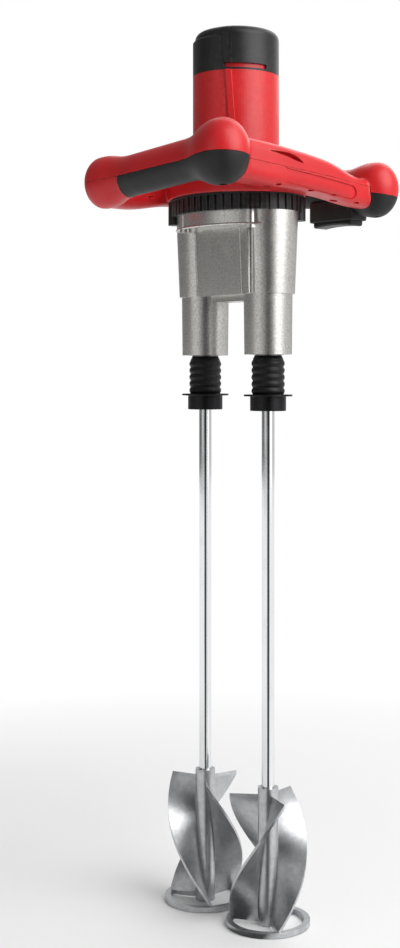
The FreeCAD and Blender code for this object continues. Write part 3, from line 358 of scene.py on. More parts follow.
# %% The bars, the arms and the body as closed meshes
def bar_profile(bar):
    """Rows of (along, radius) for a bar: dome, neck, waist, neck, dome."""
    turn = np.linspace(0.0, math.pi / 2, 16)
    step = np.linspace(0.0, 1.0, 16)
    neck = neck_length * (1.5 * step * (1 - step) + step ** 3)
    fade = (1 - step) ** 3 + 3 * (1 - step) ** 2 * step
    front, back = [
        np.column_stack([np.append(-radius * np.cos(turn), neck[1:]),
                         np.append(radius * np.sin(turn), (radius * fade + waist_radius * (1 - fade))[1:])])
        for radius in (bar["front"], bar["back"])]
    back[:, 0] = grip_back_y - grip_front_y - back[:, 0]
    return np.vstack([front, back[::-1]])


def bar_tilt(bar):
    return math.atan2(bar["back_z"] - bar["front_z"], grip_back_y - grip_front_y)


def bar_rings(bar, count=48):
    """Cross sections of a bar, taller than wide, tilted to its two end heights."""
    angles = np.linspace(0.0, 2 * math.pi, count, endpoint=False)
    cosine, sine = math.cos(bar_tilt(bar)), math.sin(bar_tilt(bar))
    rings = []
    for along, radius in bar_profile(bar)[1:-1]:
        height = grip_tall * radius * np.sin(angles)
        rings.append(np.column_stack([bar["x"] + radius * np.cos(angles),
                                      grip_front_y + along * cosine - height * sine,
                                      bar["front_z"] + along * sine + height * cosine]))
    return rings


def smooth_rows(rows, steps):
    """Fill the spaces between rows of numbers with a smooth curve through each row."""
    rows = np.array(sorted(rows), float)
    slopes = np.gradient(rows, rows[:, 0], axis=0)
    filled = []
    for first, last, leave, reach in zip(rows, rows[1:], slopes, slopes[1:]):
        span = last[0] - first[0]
        t = np.linspace(0.0, 1.0, steps, endpoint=False)[:, None]
        filled.append(first * (1 + 2 * t) * (1 - t) ** 2 + last * t * t * (3 - 2 * t)
                      + span * (leave * t * (1 - t) ** 2 - reach * t * t * (1 - t)))
    return np.vstack(filled + [rows[-1:]])


def rounded_box(middle, half, corner, steps):
    """Points round a flat rectangle with round corners."""
    points = []
    for side_a, side_b, start in ((1, 1, 0), (-1, 1, 90), (-1, -1, 180), (1, -1, 270)):
        for turn in np.radians(np.linspace(start, start + 90, steps)):
            points.append((middle[0] + side_a * (half[0] - corner) + corner * math.cos(turn),
                           middle[1] + side_b * (half[1] - corner) + corner * math.sin(turn)))
    return np.array(points)


def arm_rings(y_mid, slim_side, slim_top):
    """Rounded sections of a cross arm: thick at one grip, slim at the other."""
    rows = [(-slim_side * grip_x, 28.0, -15.0, 26.0), (-slim_side * 26.0, 36.0, -19.0, 19.0),
            (slim_side * 26.0, 36.0, -21.0, 12.0), (slim_side * 76.0, 28.0, -28.0, slim_top),
            (slim_side * grip_x, 28.0, -28.0, slim_top)]
    rings = []
    for x, depth, low, top in smooth_rows(rows, 12):
        ring = rounded_box((y_mid, (low + top) / 2), (depth / 2, (top - low) / 2), arm_corner, 7)
        rings.append(np.column_stack([np.full(len(ring), x), ring]))
    return rings


def body_rings(count=96):
    """Oval sections of the body, from the collar up to the motor's foot."""
    rows = [(collar_top_z - 1.0, 57.0, 80.0), (4.0, 57.0, 80.0), (18.0, 51.0, 63.0), (33.0, 45.0, 45.5)]
    angles = np.linspace(0.0, 2 * math.pi, count, endpoint=False)
    return [np.column_stack([half_x * np.cos(angles), half_y * np.sin(angles), np.full(count, z)])
            for z, half_x, half_y in smooth_rows(rows, 10)]


def add_rings(shape, rings, joined=False):
    """Skin a row of closed sections, and close both ends or join the last to the first."""
    loops = [[shape.verts.new(Vector(point) * MM) for point in ring] for ring in rings]
    for lower, upper in zip(loops, loops[1:] + loops[:1] if joined else loops[1:]):
        for index in range(len(lower)):
            following = (index + 1) % len(lower)
            shape.faces.new((lower[index], lower[following], upper[following], upper[index]))
    if not joined:
        shape.faces.new(loops[0][::-1])
        shape.faces.new(loops[-1])


ring_shape = bmesh.new()
for rings in (bar_rings(left_bar), bar_rings(right_bar), arm_rings(arm_front_y, 1, 0.5),
              arm_rings(arm_back_y, -1, 7.0), body_rings()):
    add_rings(ring_shape, rings)
bmesh.ops.recalc_face_normals(ring_shape, faces=ring_shape.faces)
print("ring forms:", len(ring_shape.verts), "points,", len(ring_shape.faces), "faces")


# %% Melt the forms into one skin
def evaluated_mesh(mesh, name, **modifiers):
    """Run modifiers on a mesh in a passing object, and return the result as a plain mesh."""
    holder = linked(name, mesh)
    for kind, values in modifiers.items():
        modifier = holder.modifiers.new(kind, kind)
        for key, value in values.items():
            setattr(modifier, key, value)
    return take_result(holder)


skin = evaluated_mesh(plain_mesh(ring_shape, "plain_ring"), "ring_skin",
                      REMESH={"mode": "VOXEL", "voxel_size": skin_voxel * MM},
                      SMOOTH={"factor": 0.5, "iterations": 8})
print("skin:", len(skin.polygons), "faces")

# %% [markdown]
# ### Cutting the skin into its mouldings
# The real ring is four mouldings: an upper and a lower red shell, and two black grip pads. They meet in
# fine seams, and the seam between the red halves twists, because the grips rise opposite ways. A flat
# knife can't follow that, so this knife follows a rule: each edge whose two ends lie on different sides of
# a function's zero is split where the function crosses it. The same knife outlines panels and recesses.

# %% The knife, and a press for recesses
least_facing = 0.15


def face_values(shape, rule):
    shape.faces.ensure_lookup_table()
    return rule(np.array([face.calc_center_median() for face in shape.faces]) / MM)


def slice_along(shape, rule):
    """Split the faces of a bmesh along the line where the rule is zero."""
    shape.verts.index_update()
    values = rule(np.array([vert.co for vert in shape.verts]) / MM)
    fresh = []
    for edge in list(shape.edges):
        first, last = edge.verts
        here, there = values[first.index], values[last.index]
        if here * there < 0:
            fresh.append(bmesh.utils.edge_split(edge, first, here / (here - there))[1])
    bmesh.ops.connect_verts(shape, verts=fresh)
    shape.normal_update()


def press_in(shape, rule, facing, travel):
    """Sink the surface inside a rule's outline, where it faces a given way, with a wall round it."""
    slice_along(shape, rule)
    inside = [face for face, value in zip(shape.faces, face_values(shape, rule))
              if value < 0 and face.normal.dot(facing) > least_facing]
    tag = shape.faces.layers.int["moulding"]
    number = inside[0][tag]
    made = bmesh.ops.extrude_face_region(shape, geom=inside)["geom"]
    bmesh.ops.delete(shape, geom=[face for face in inside if face.is_valid], context="FACES")
    moved = [item for item in made if isinstance(item, bmesh.types.BMVert)]
    bmesh.ops.translate(shape, verts=moved, vec=Vector(travel) * MM)
    for vert in moved:
        for face in vert.link_faces:
            face[tag] = number
    return len(moved)


# %% The rules: parting surface, bars, motor foot, collar room
split_lift = 0.6
foot_gap = 0.15
room_half_x = 55.5
room_half_y = 75.5
room_top_z = collar_top_z + 0.6
room_slope = 50.0


def split_height(x, y):
    """Height of the parting surface, straight from grip to grip and along the grips."""
    along = (y - grip_front_y) / (grip_back_y - grip_front_y)
    left = split_left_front_z + along * (left_bar["back_z"] - split_left_front_z)
    right = right_bar["front_z"] + along * (right_bar["back_z"] - right_bar["front_z"])
    return split_lift + (left + right) / 2 + (right - left) / 2 * x / grip_x


def above_split(points):
    return points[:, 2] - split_height(points[:, 0], points[:, 1])


def outside_bar(points, bar):
    """Distance outside a bar's own surface, with its height squeezed back to round."""
    cosine, sine = math.cos(bar_tilt(bar)), math.sin(bar_tilt(bar))
    y = points[:, 1] - grip_front_y
    z = points[:, 2] - bar["front_z"]
    along = y * cosine + z * sine
    across = np.hypot(points[:, 0] - bar["x"], (z * cosine - y * sine) / grip_tall)
    length = grip_back_y - grip_front_y
    profile = bar_profile(bar)
    limit = np.interp(along, profile[:, 0], profile[:, 1])
    ends = np.where(along < 0, np.hypot(across, along) - bar["front"],
                    np.hypot(across, along - length) - bar["back"])
    return np.where((along < 0) | (along > length), ends, across - limit)


def pad_rule(bar, end_y):
    """The outline of a grip pad: all of its bar, up to where the pad ends."""
    def rule(points):
        return np.maximum(outside_bar(points, bar) - pad_margin, points[:, 1] - end_y)
    return rule


left_pad_rule = pad_rule(left_bar, left_pad_end_y)
right_pad_rule = pad_rule(right_bar, right_pad_end_y)


def motor_foot_rule(points):
    return np.hypot(points[:, 0], points[:, 1]) - motor_radius - foot_gap


def collar_room_rule(points):
    return np.maximum(np.hypot(points[:, 0] / room_half_x, points[:, 1] / room_half_y) - 1.0,
                      (points[:, 2] - room_top_z) / room_slope)


# %% Open the foot and the underside, then cut the four mouldings apart
UPPER, LOWER, LEFT_PAD, RIGHT_PAD = 1, 2, 3, 4
half_seam = 0.22
skin_shape = bmesh.new()
skin_shape.from_mesh(skin)
slice_along(skin_shape, motor_foot_rule)
slice_along(skin_shape, collar_room_rule)
for rule, drop in ((above_split, 0.0), (left_pad_rule, 0.0), (right_pad_rule, 0.0),
                   (above_split, right_pad_drop)):
    for side in (-half_seam, half_seam):
        slice_along(skin_shape, lambda points: rule(points) + drop + side)
piece_of = skin_shape.faces.layers.int.new("moulding")
foot, room, split, left_zone, right_zone = [
    face_values(skin_shape, rule)
    for rule in (motor_foot_rule, collar_room_rule, above_split, left_pad_rule, right_pad_rule)]
pad_zone = np.minimum(left_zone, right_zone)
parting = np.where(right_zone < 0, split + right_pad_drop, split)
for index, face in enumerate(skin_shape.faces):
    opened = (foot[index] < 0 and split[index] > 0) or room[index] < 0
    on_seam = (abs(parting[index]) < half_seam
               or (split[index] < 0 and abs(pad_zone[index]) < half_seam))
    if opened or on_seam:
        continue
    if parting[index] > 0:
        face[piece_of] = UPPER
    elif left_zone[index] < 0:
        face[piece_of] = LEFT_PAD
    elif right_zone[index] < 0:
        face[piece_of] = RIGHT_PAD
    else:
        face[piece_of] = LOWER
unused = [face for face in skin_shape.faces if face[piece_of] == 0]
bmesh.ops.delete(skin_shape, geom=unused, context="FACES")
print("faces left on the four mouldings:", len(skin_shape.faces))


# %% [markdown]
# ### Recesses in the red shells
# The front arm carries a long shallow panel below the parting line, square at one end and round at the
# other, and a lens-shaped hollow above it. A row of little clip slots runs along each arm's lower corner,
# and screw holes open from below. A mould makes them with raised parts of its own. Here each is an outline
# cut with the knife, and the surface inside it is pressed in with a wall round it.

# %% Outlines of the panel, the hollow, the slots and the screw holes
panel = {"drop": 8.6, "lean": 0.02, "half": 6.8, "square_x": -36.5, "round_x": 57.0, "depth": 1.3}
hollow = {"x": -67.9, "z": 14.8, "run": 0.981, "fall": 0.194, "long": 57.2, "tall": 5.6, "skew": 1.8,
          "trim": 0.3, "depth": 5.5}
spot_reach = 16.0
hole = {"radius": 4.1, "depth": 7.0}


def panel_rule(y_mid, slim_side):
    """A long outline on an arm's outer face, which follows the parting line."""
    def rule(points):
        along = slim_side * points[:, 0]
        over = above_split(points) + panel["drop"] + panel["lean"] * along
        slot = np.hypot(np.maximum(along - panel["round_x"], 0.0), over) - panel["half"]
        inner_side = (y_mid - points[:, 1]) * np.sign(y_mid)
        return np.maximum(np.maximum(slot, panel["square_x"] - along), inner_side)
    return rule


def hollow_rule(points):
    """A lens over the front arm's parting line, thin at its left end and blunt at its right."""
    x = points[:, 0] - hollow["x"]
    z = points[:, 2] - hollow["z"]
    along = hollow["run"] * x - hollow["fall"] * z
    over = hollow["fall"] * x + hollow["run"] * z
    share = np.clip(along / hollow["long"], 0.0, 1.0)
    top = hollow["tall"] * np.sin(math.pi * share ** hollow["skew"])
    return np.maximum(np.maximum(over - top, -over) + hollow["trim"], points[:, 1] - arm_front_y)


def spot_rule(x, y, z, half_x, half_z):
    """A small flat oval outline seen from the front or back."""
    def rule(points):
        flat = np.hypot((points[:, 0] - x) / half_x, (points[:, 2] - z) / half_z) - 1.0
        return np.maximum(flat, np.abs(points[:, 1] - y) / spot_reach - 1.0)
    return rule


def hole_rule(x, y):
    def rule(points):
        return np.maximum(np.hypot(points[:, 0] - x, points[:, 1] - y) - hole["radius"], points[:, 2])
    return rule


# %% Press them in
front, back, below = Vector((0, -1, 0)), Vector((0, 1, 0)), Vector((0, 0, -1))
gland_screw_y = 53.0
arm_screw_x = 46.0
screw_places = [(-grip_x, grip_front_y), (-grip_x, grip_back_y), (grip_x, grip_front_y),
                (grip_x, gland_screw_y)]
screw_places += [(x, y) for x in (-arm_screw_x, arm_screw_x) for y in (arm_front_y, arm_back_y)]
clip_places = [(-41.0, -16.9), (1.7, -18.6), (34.0, -20.4), (68.0, -25.0)]
clip_half = (3.6, 0.85)
clip_depth = 1.6
clip_from_arm = 13.0
clip_rows = [(1, arm_front_y - clip_from_arm, front), (-1, arm_back_y + clip_from_arm, back)]
inner_slot = {"x": -60.0, "y": 61.0, "z": -15.5, "half_x": 3.2, "half_z": 0.8}
inner_slot_travel = (0, 2.0, 1.0)
pressed = press_in(skin_shape, panel_rule(arm_front_y, 1), front, (0, panel["depth"], 0))
pressed += press_in(skin_shape, panel_rule(arm_back_y, -1), back, (0, -panel["depth"], 0))
pressed += press_in(skin_shape, hollow_rule, front, (0, hollow["depth"], 0))
pressed += press_in(skin_shape, spot_rule(**inner_slot), front, inner_slot_travel)
for x, z in clip_places:
    for side, y, facing in clip_rows:
        pressed += press_in(skin_shape, spot_rule(side * x, y, z, *clip_half), facing,
                            (0, side * clip_depth, clip_depth))
for x, y in screw_places:
    pressed += press_in(skin_shape, hole_rule(x, y), below, (0, 0, hole["depth"]))
print("points pressed in:", pressed)


# %% Turn in the seams and file the four mouldings
wall_shown = 2.2
# Bend at which a convex edge starts to be lightened, as wear and painted highlight, and the span to full
# strength.
edge_wear_and_sheen_from = 0.32
edge_wear_and_sheen_span = 0.35
crisp_angle = math.radians(32.0)


def turn_in_edges(shape):
    """Fold the open edges inwards, so that a seam shows the wall's thickness."""
    rim = [edge for edge in shape.edges if edge.is_boundary]
    inward = {vert: -wall_shown * vert.normal for edge in rim for vert in edge.verts}
    made = bmesh.ops.extrude_edge_only(shape, edges=rim)["geom"]
    for vert in [item for item in made if isinstance(item, bmesh.types.BMVert)]:
        source = next(edge.other_vert(vert) for edge in vert.link_edges if edge.other_vert(vert) in inward)
        vert.co = source.co + inward[source] * MM


def mark_edge_wear_and_sheen(mesh):
    """Store how outward-bent the surface is at each point, for the mask of edge wear and painted highlight.
    """
    shape = bmesh.new()
    shape.from_mesh(mesh)
    bend = np.zeros(len(shape.verts))
    for edge in shape.edges:
        if edge.is_manifold:
            angle = edge.calc_face_angle_signed(0.0)
            for vert in edge.verts:
                bend[vert.index] = max(bend[vert.index], angle)
    shape.free()
    layer = mesh.attributes.new("edge_wear_and_sheen", "FLOAT", "POINT")
    layer.data.foreach_set("value", np.clip((bend - edge_wear_and_sheen_from) / edge_wear_and_sheen_span, 0.0, 1.0))


def soften(mesh):
    """Smooth shading, kept crisp at sharp edges."""
    mesh.shade_smooth()
    mesh.set_sharp_from_angle(angle=crisp_angle)


def finished_mesh(shape, name, slot):
    """Turn a worked bmesh into a mesh with its mask of edge wear and painted highlight, its shading and its
    finish.
    """
    mesh = plain_mesh(shape, name)
    mark_edge_wear_and_sheen(mesh)
    soften(mesh)
    mesh.materials.clear()
    mesh.materials.append(finishes[slot])
    return mesh


for number, name, slot, node in ((UPPER, "upper_shell_moulding", "red_shell", "upper_handle_shell"),
                                 (LOWER, "lower_shell_moulding", "red_shell", "lower_handle_shell"),
                                 (LEFT_PAD, "left_pad_moulding", "grip_pad", "left_grip_pad"),
                                 (RIGHT_PAD, "right_pad_moulding", "grip_pad", "right_grip_pad")):
    part = skin_shape.copy()
    tag = part.faces.layers.int["moulding"]
    bmesh.ops.delete(part, geom=[face for face in part.faces if face[tag] != number], context="FACES")
    part.normal_update()
    turn_in_edges(part)
    file_piece(name, finished_mesh(part, name, slot), "frame", [node])
skin_shape.free()

# %% [markdown]
# ### The guard round the trigger
# Below the right grip hangs a short square collar that keeps the trigger from being knocked. It is part of
# the same soft moulding as the grip. We skin a row of rounded rectangles: down the outside, over the lower
# lip, and up the inside, so that the trigger has a real opening to slide in.

# %% Skin the guard
guard_top_z = -17.0
guard_low_z = -37.0
guard_middle = (grip_x, -42.0)
opening_half_x = 10.0
opening_half_y = 26.0
guard_rows = [(4.0, guard_top_z, 6.0), (4.0, guard_low_z + 1.4, 6.0), (3.6, guard_low_z + 0.4, 5.6),
              (2.6, guard_low_z, 4.6), (1.4, guard_low_z, 3.4), (0.7, guard_low_z + 0.5, 2.8),
              (0.5, guard_top_z, 2.6)]
guard_rings = []
for grow, z, corner in guard_rows:
    ring = rounded_box(guard_middle, (opening_half_x + grow, opening_half_y + grow), corner, 6)
    guard_rings.append(np.column_stack([ring, np.full(len(ring), z)]))
guard_shape = bmesh.new()
add_rings(guard_shape, guard_rings, joined=True)
bmesh.ops.recalc_face_normals(guard_shape, faces=guard_shape.faces)
guard_name = "trigger_guard_moulding"
file_piece(guard_name, finished_mesh(guard_shape, guard_name, "grip_pad"), "frame")

# %% [markdown]
# ## Solids with softened edges
# The motor tube, the gearbox casting, the collar, the paddles and the small controls have the right shape
# already, but every edge of a solid is knife sharp, and no moulded or cast edge is. We copy such a mesh,
# weld its loose triangles, join the ones that lie in one plane, and round its edges with a Bevel modifier
# that only takes edges above an angle. The copy then stands for the solid.

# %% Weld, round and file a copy
weld_distance = 0.02
flat_angle = math.radians(0.05)
bevel_angle = math.radians(28.0)


def welded(node):
    """A bmesh copy of a solid's mesh with its triangles joined into whole faces."""
    shape = bmesh.new()
    shape.from_mesh(frame["nodes"][node].data)
    bmesh.ops.remove_doubles(shape, verts=shape.verts, dist=weld_distance * MM)
    bmesh.ops.dissolve_limit(shape, angle_limit=flat_angle, verts=shape.verts, edges=shape.edges)
    return shape


def rounded(shape, name, bevel):
    """Round the edges of a bmesh, mark its convex edges for wear and a painted highlight, and shade it
    smooth.
    """
    plain = plain_mesh(shape, name + "_plain")
    soften(plain)
    mesh = evaluated_mesh(plain, name, BEVEL={"width": bevel * MM, "segments": 2, "limit_method": "ANGLE",
                                              "angle_limit": bevel_angle},
                          WEIGHTED_NORMAL={"keep_sharp": True})
    bpy.data.meshes.remove(plain)
    mark_edge_wear_and_sheen(mesh)
    return mesh


slot_of = {entry["node"]: entry["material_slot"] for entry in frame["record"]["subparts"]}
body_of = {node: body for body, nodes in frame["record"]["behaviour"]["bodies"].items() for node in nodes}


def solid_corners(node):
    """Lowest and highest corner of a solid, in metres."""
    return [Vector(corner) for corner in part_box(node)]


def file_copy(node, name, mesh):
    """File a dressed copy, kept inside its solid's box, with the solid's own body and finish."""
    low, high = solid_corners(node)
    for vert in mesh.vertices:
        vert.co = np.clip(vert.co, low, high)
    mesh.materials.clear()
    mesh.materials.append(finishes[slot_of[node]])
    return file_piece(name, mesh, body_of[node], [node])


for node, name, bevel in (("motor_housing", "motor_tube", 0.7), ("vent_collar", "ribbed_collar", 0.35),
                          ("gearbox_housing", "gearbox_casting", 0.9), ("lock_button", "lock_knob", 0.8),
                          ("cable_gland", "lead_gland", 0.6),
                          ("front_release_sleeve", "front_pull_sleeve", 0.4),
                          ("rear_release_sleeve", "rear_pull_sleeve", 0.4),
                          ("front_mixing_paddle", "front_paddle", 0.6),
                          ("rear_mixing_paddle", "rear_paddle", 0.6)):
    file_copy(node, name, rounded(welded(node), name, bevel))

# %% [markdown]
# ### The cap and the trigger
# Two copies need a little more than round edges. The top of the cap steps in on one side, where a cover
# is let into it, and has a shallow round recess on top. The trigger's underside is hollowed along its
# length. A few extra cuts with the knife give points to move, and a soft step or a shallow arc moves them.

# %% Step the cap and hollow the trigger
def cut_levels(shape, axis, levels):
    for level in levels:
        slice_along(shape, lambda points: points[:, axis] - level)


def soft_step(value):
    share = np.clip(value, 0.0, 1.0)
    return share * share * (3.0 - 2.0 * share)


step_z = 136.2
step_rise = 2.1
step_in = 2.2
step_side = (-0.731, 0.682)
step_spread = 1.5
step_from_radius = 30.0
step_reach = 8.0
recess_margin = 5.0
recess_wall = 0.6
recess_depth = 1.0
level_facing = 0.99
cap_shape = welded("motor_end_cap")
cut_levels(cap_shape, 2, np.linspace(step_z, step_z + step_rise, 4))
for vert in cap_shape.verts:
    x, y, z = vert.co / MM
    reach = max(math.hypot(x, y), 1.0)
    sideways = (step_side[0] * x + step_side[1] * y) / reach
    pull = step_in * soft_step((z - step_z) / step_rise) * soft_step(sideways * step_spread)
    pull *= soft_step((reach - step_from_radius) / step_reach)
    vert.co.x -= pull * x / reach * MM
    vert.co.y -= pull * y / reach * MM
cap_high_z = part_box("motor_end_cap")[1][2]
cap_top = [face for face in cap_shape.faces
           if face.normal.z > level_facing and face.calc_center_median().z > cap_high_z - MM]
bmesh.ops.inset_region(cap_shape, faces=cap_top, thickness=recess_margin * MM)
bmesh.ops.inset_region(cap_shape, faces=cap_top, thickness=recess_wall * MM)
for vert in {vert for face in cap_top for vert in face.verts}:
    vert.co.z -= recess_depth * MM
file_copy("motor_end_cap", "motor_cap", rounded(cap_shape, "motor_cap", bevel=0.5))

trigger_hollow = 2.0
trigger_rim = 4.0
trigger_skin = 3.0
trigger_shape = welded("trigger")
trigger_low, trigger_high = (corner / MM for corner in solid_corners("trigger"))
trigger_mid = (trigger_low.y + trigger_high.y) / 2
trigger_half = (trigger_high.y - trigger_low.y) / 2
cut_levels(trigger_shape, 1, np.linspace(trigger_low.y + trigger_rim, trigger_high.y - trigger_rim, 11))
for vert in trigger_shape.verts:
    if vert.co.z / MM < trigger_low.z + trigger_skin:
        off_middle = (vert.co.y / MM - trigger_mid) / trigger_half
        vert.co.z += trigger_hollow * (1.0 - off_middle ** 2) * MM
file_copy("trigger", "trigger_lever", rounded(trigger_shape, "trigger_lever", bevel=0.8))

# %% [markdown]
# ## What repeats: bellows folds, screws and casting beads
# Folds, screw heads and beads along a corner are the same thing many times, or one section along a path,
# so Geometry Nodes make them. Each tree is built here with named inputs, and its result is turned into a
# plain mesh, because instances and live modifiers do not survive an export.

# %% Helpers for node trees
def new_tree(name, inputs):
    """Start a geometry tree with named inputs, and return it with its input sockets and output."""
    tree = bpy.data.node_groups.new(name, "GeometryNodeTree")
    for label, kind in inputs.items():
        tree.interface.new_socket(label, in_out="INPUT", socket_type="NodeSocket" + kind)
    tree.interface.new_socket("Geometry", in_out="OUTPUT", socket_type="NodeSocketGeometry")
    return tree, tree.nodes.new("NodeGroupInput").outputs, tree.nodes.new("NodeGroupOutput").inputs


def shaped(tree, kind, inputs, **settings):
    """Add a geometry node, and return its first output."""
    return add_node(tree, "GeometryNode" + kind, inputs, **settings).outputs[0]


def finish_tree(tree, given, end, geometry):
    """Every tree ends in real geometry with its material."""
    real = shaped(tree, "RealizeInstances", {"Geometry": geometry})
    coloured = shaped(tree, "SetMaterial", {"Geometry": real, "Material": given["Material"]})
    tree.links.new(coloured, end["Geometry"])
    return tree


def grown(tree, mesh, name, **values):
    """Run a tree on a mesh with its named inputs, and return the result as a plain mesh."""
    holder = linked(name, mesh)
    modifier = holder.modifiers.new("nodes", "NODES")
    modifier.node_group = tree
    sockets = {item.name: item.identifier for item in tree.interface.items_tree if item.in_out == "INPUT"}
    for label, value in values.items():
        modifier[sockets[label.replace("_", " ").title()]] = value
    return take_result(holder)


def points_mesh(name, points, edges=()):
    mesh = bpy.data.meshes.new(name)
    mesh.from_pydata([Vector(point) * MM for point in points], edges, [])
    return mesh


# %% [markdown]
# ### Bellows
# A rubber bellows keeps dirt out of each coupling. Real ones are moulded with round folds and sharp
# valleys, below a neck that grips the shaft. The tree bends an open cylinder: the share of the way down
# gives each point its radius, from the neck, through a soft shoulder, to the folds. When the sleeve is
# pulled up, the folds of the real bellows close.

# %% Fold the two bellows
def build_bellows_tree():
    tree, given, end = new_tree("bellows_folds", {
        "Geometry": "Geometry", "Top Height": "Float", "Length": "Float", "Middle": "Float",
        "Neck": "Float", "Valley": "Float", "Crest": "Float", "Shoulder": "Float", "Folds": "Float",
        "Material": "Material"})

    def calculate(operation, first, second=0.0, third=0.0):
        return math_node(tree, operation, first, second, third)

    tube = shaped(tree, "MeshCylinder", {"Vertices": 56, "Side Segments": 96, "Radius": 1.0, "Depth": 1.0},
                  fill_type="NONE")
    at = add_node(tree, "ShaderNodeSeparateXYZ", {0: shaped(tree, "InputPosition", {})}).outputs
    down = calculate("SUBTRACT", 0.5, at["Z"])
    shoulder = add_node(tree, "ShaderNodeMapRange",
                        {"Value": down, "From Max": given["Shoulder"], "To Min": given["Neck"],
                         "To Max": given["Valley"]}, interpolation_type="SMOOTHSTEP").outputs["Result"]
    below_neck = add_node(tree, "ShaderNodeMapRange",
                          {"Value": down, "From Min": given["Shoulder"]}).outputs["Result"]
    turns = calculate("MULTIPLY", below_neck, calculate("MULTIPLY", given["Folds"], math.pi))
    wave = calculate("ABSOLUTE", calculate("SINE", turns))
    fold = calculate("MULTIPLY", wave, calculate("SUBTRACT", given["Crest"], given["Valley"]))
    radius = calculate("ADD", shoulder, fold)
    place = add_node(tree, "ShaderNodeCombineXYZ", {
        "X": calculate("MULTIPLY", at["X"], radius),
        "Y": calculate("MULTIPLY_ADD", at["Y"], radius, given["Middle"]),
        "Z": calculate("SUBTRACT", given["Top Height"], calculate("MULTIPLY", down, given["Length"]))})
    bent = shaped(tree, "SetPosition", {"Geometry": tube, "Position": place.outputs[0]})
    return finish_tree(tree, given, end, bent)


bellows_tree = build_bellows_tree()
sleeve_travel = 8.0
for side in ("front", "rear"):
    node = side + "_bellows"
    low, high = solid_corners(node)
    mesh = grown(bellows_tree, points_mesh(node, [(0, 0, 0)]), side + "_folds", top_height=high.z,
                 length=high.z - low.z, middle=(low.y + high.y) / 2, neck=13.4 * MM, valley=15.0 * MM,
                 crest=16.3 * MM, shoulder=0.12, folds=5.0, material=finishes["soft_rubber"])
    mesh.shade_smooth()
    piece = file_piece(side + "_folds", mesh, body_of[node], [node])
    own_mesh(piece)

# %% [markdown]
# ### Springs
# A coil spring inside each bellows pushes the sleeve down, and a small one under the trigger pushes that
# back out. They are made as solids, and a copy of each stands for its solid.

# %% Copy the springs
trigger_travel = 5.0
for node, joint, travel in (("front_coupling_spring", "front_sleeve_slide", sleeve_travel),
                            ("rear_coupling_spring", "rear_sleeve_slide", sleeve_travel),
                            ("trigger_spring", "trigger_pull", trigger_travel)):
    low, high = solid_corners(node)
    name = node + "_coil"
    piece = file_copy(node, name, finished_mesh(welded(node), name, slot_of[node]))
    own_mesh(piece)

# %% [markdown]
# ### Screws
# Eight screws hold the shells together from below and four hold the gearbox. They are the same pan-headed
# screw with a six-sided socket, so one tree places them. Where each one sits is read from its solid: every
# separate island of that mesh is one screw, with its head at the lower end.

# %% Place the screws
def build_screw_tree():
    tree, given, end = new_tree("socket_screws", {
        "Geometry": "Geometry", "Head Radius": "Float", "Head Height": "Float", "Socket": "Float",
        "Shank Radius": "Float", "Shank Length": "Float", "Material": "Material"})

    def rod(sides, radius, depth, lift):
        solid = shaped(tree, "MeshCylinder", {"Vertices": sides, "Radius": radius, "Depth": depth})
        shift = add_node(tree, "ShaderNodeCombineXYZ", {"Z": lift}).outputs[0]
        return shaped(tree, "Transform", {"Geometry": solid, "Translation": shift})

    half_head = math_node(tree, "MULTIPLY", given["Head Height"], 0.5)
    head = rod(32, given["Head Radius"], given["Head Height"], half_head)
    socket = rod(6, given["Socket"], given["Head Height"], 0.0)
    drilled = shaped(tree, "MeshBoolean", {"Mesh 1": head, "Mesh 2": socket}, operation="DIFFERENCE")
    shank = rod(20, given["Shank Radius"], given["Shank Length"],
                math_node(tree, "MULTIPLY_ADD", given["Shank Length"], 0.5, half_head))
    screw = add_node(tree, "GeometryNodeJoinGeometry")
    for part in (drilled, shank):
        tree.links.new(part, screw.inputs[0])
    placed = shaped(tree, "InstanceOnPoints", {"Points": given["Geometry"], "Instance": screw.outputs[0]})
    return finish_tree(tree, given, end, placed)


def island_boxes(node):
    """Lowest and highest corner, in millimetres, of each separate island of a solid."""
    mesh = plain_mesh(welded(node), node + "_islands")
    mesh.calc_loop_triangles()
    boxes = []
    for island in mesh_linked_triangles(mesh):
        corners = np.array([mesh.vertices[index].co for face in island for index in face.vertices]) / MM
        boxes.append((corners.min(axis=0), corners.max(axis=0)))
    bpy.data.meshes.remove(mesh)
    return boxes


head_height = 2.6
shank_short_by = 2.0
screw_tree = build_screw_tree()
for node, name in (("handle_screws", "shell_screws"), ("gearbox_screws", "casting_screws")):
    boxes = island_boxes(node)
    spots = [((low[0] + high[0]) / 2, (low[1] + high[1]) / 2, low[2]) for low, high in boxes]
    head = (boxes[0][1][0] - boxes[0][0][0]) / 2
    length = min(high[2] - low[2] for low, high in boxes)
    mesh = grown(screw_tree, points_mesh(name, spots), name, head_radius=head * MM,
                 head_height=head_height * MM, socket=0.55 * head * MM, shank_radius=0.5 * head * MM,
                 shank_length=(length - shank_short_by) * MM, material=finishes["plain_steel"])
    soften(mesh)
    print(len(spots), "screws, head radius", round(head, 2), "length", round(length, 1))
    file_piece(name, mesh, "frame", [node])

# %% [markdown]
# ### Beads on the casting
# Where the casting's web runs into a barrel there is a thin upright bead, left by the two halves of the
# mould, and a round rim runs along the flange's lower edge. Each is a small round section along a path: a
# straight one that leans with the draft of the casting, or the flange's own oval.

# %% Run the beads
def build_bead_tree():
    tree, given, end = new_tree("casting_beads", {"Geometry": "Geometry", "Radius": "Float",
                                                  "Count": "Int", "Material": "Material"})
    path = shaped(tree, "MeshToCurve", {"Mesh": given["Geometry"]})
    fine = shaped(tree, "ResampleCurve", {"Curve": path, "Count": given["Count"]})
    section = shaped(tree, "CurvePrimitiveCircle", {"Resolution": 12, "Radius": given["Radius"]})
    bead = shaped(tree, "CurveToMesh", {"Curve": fine, "Profile Curve": section, "Fill Caps": True})
    return finish_tree(tree, given, end, bead)


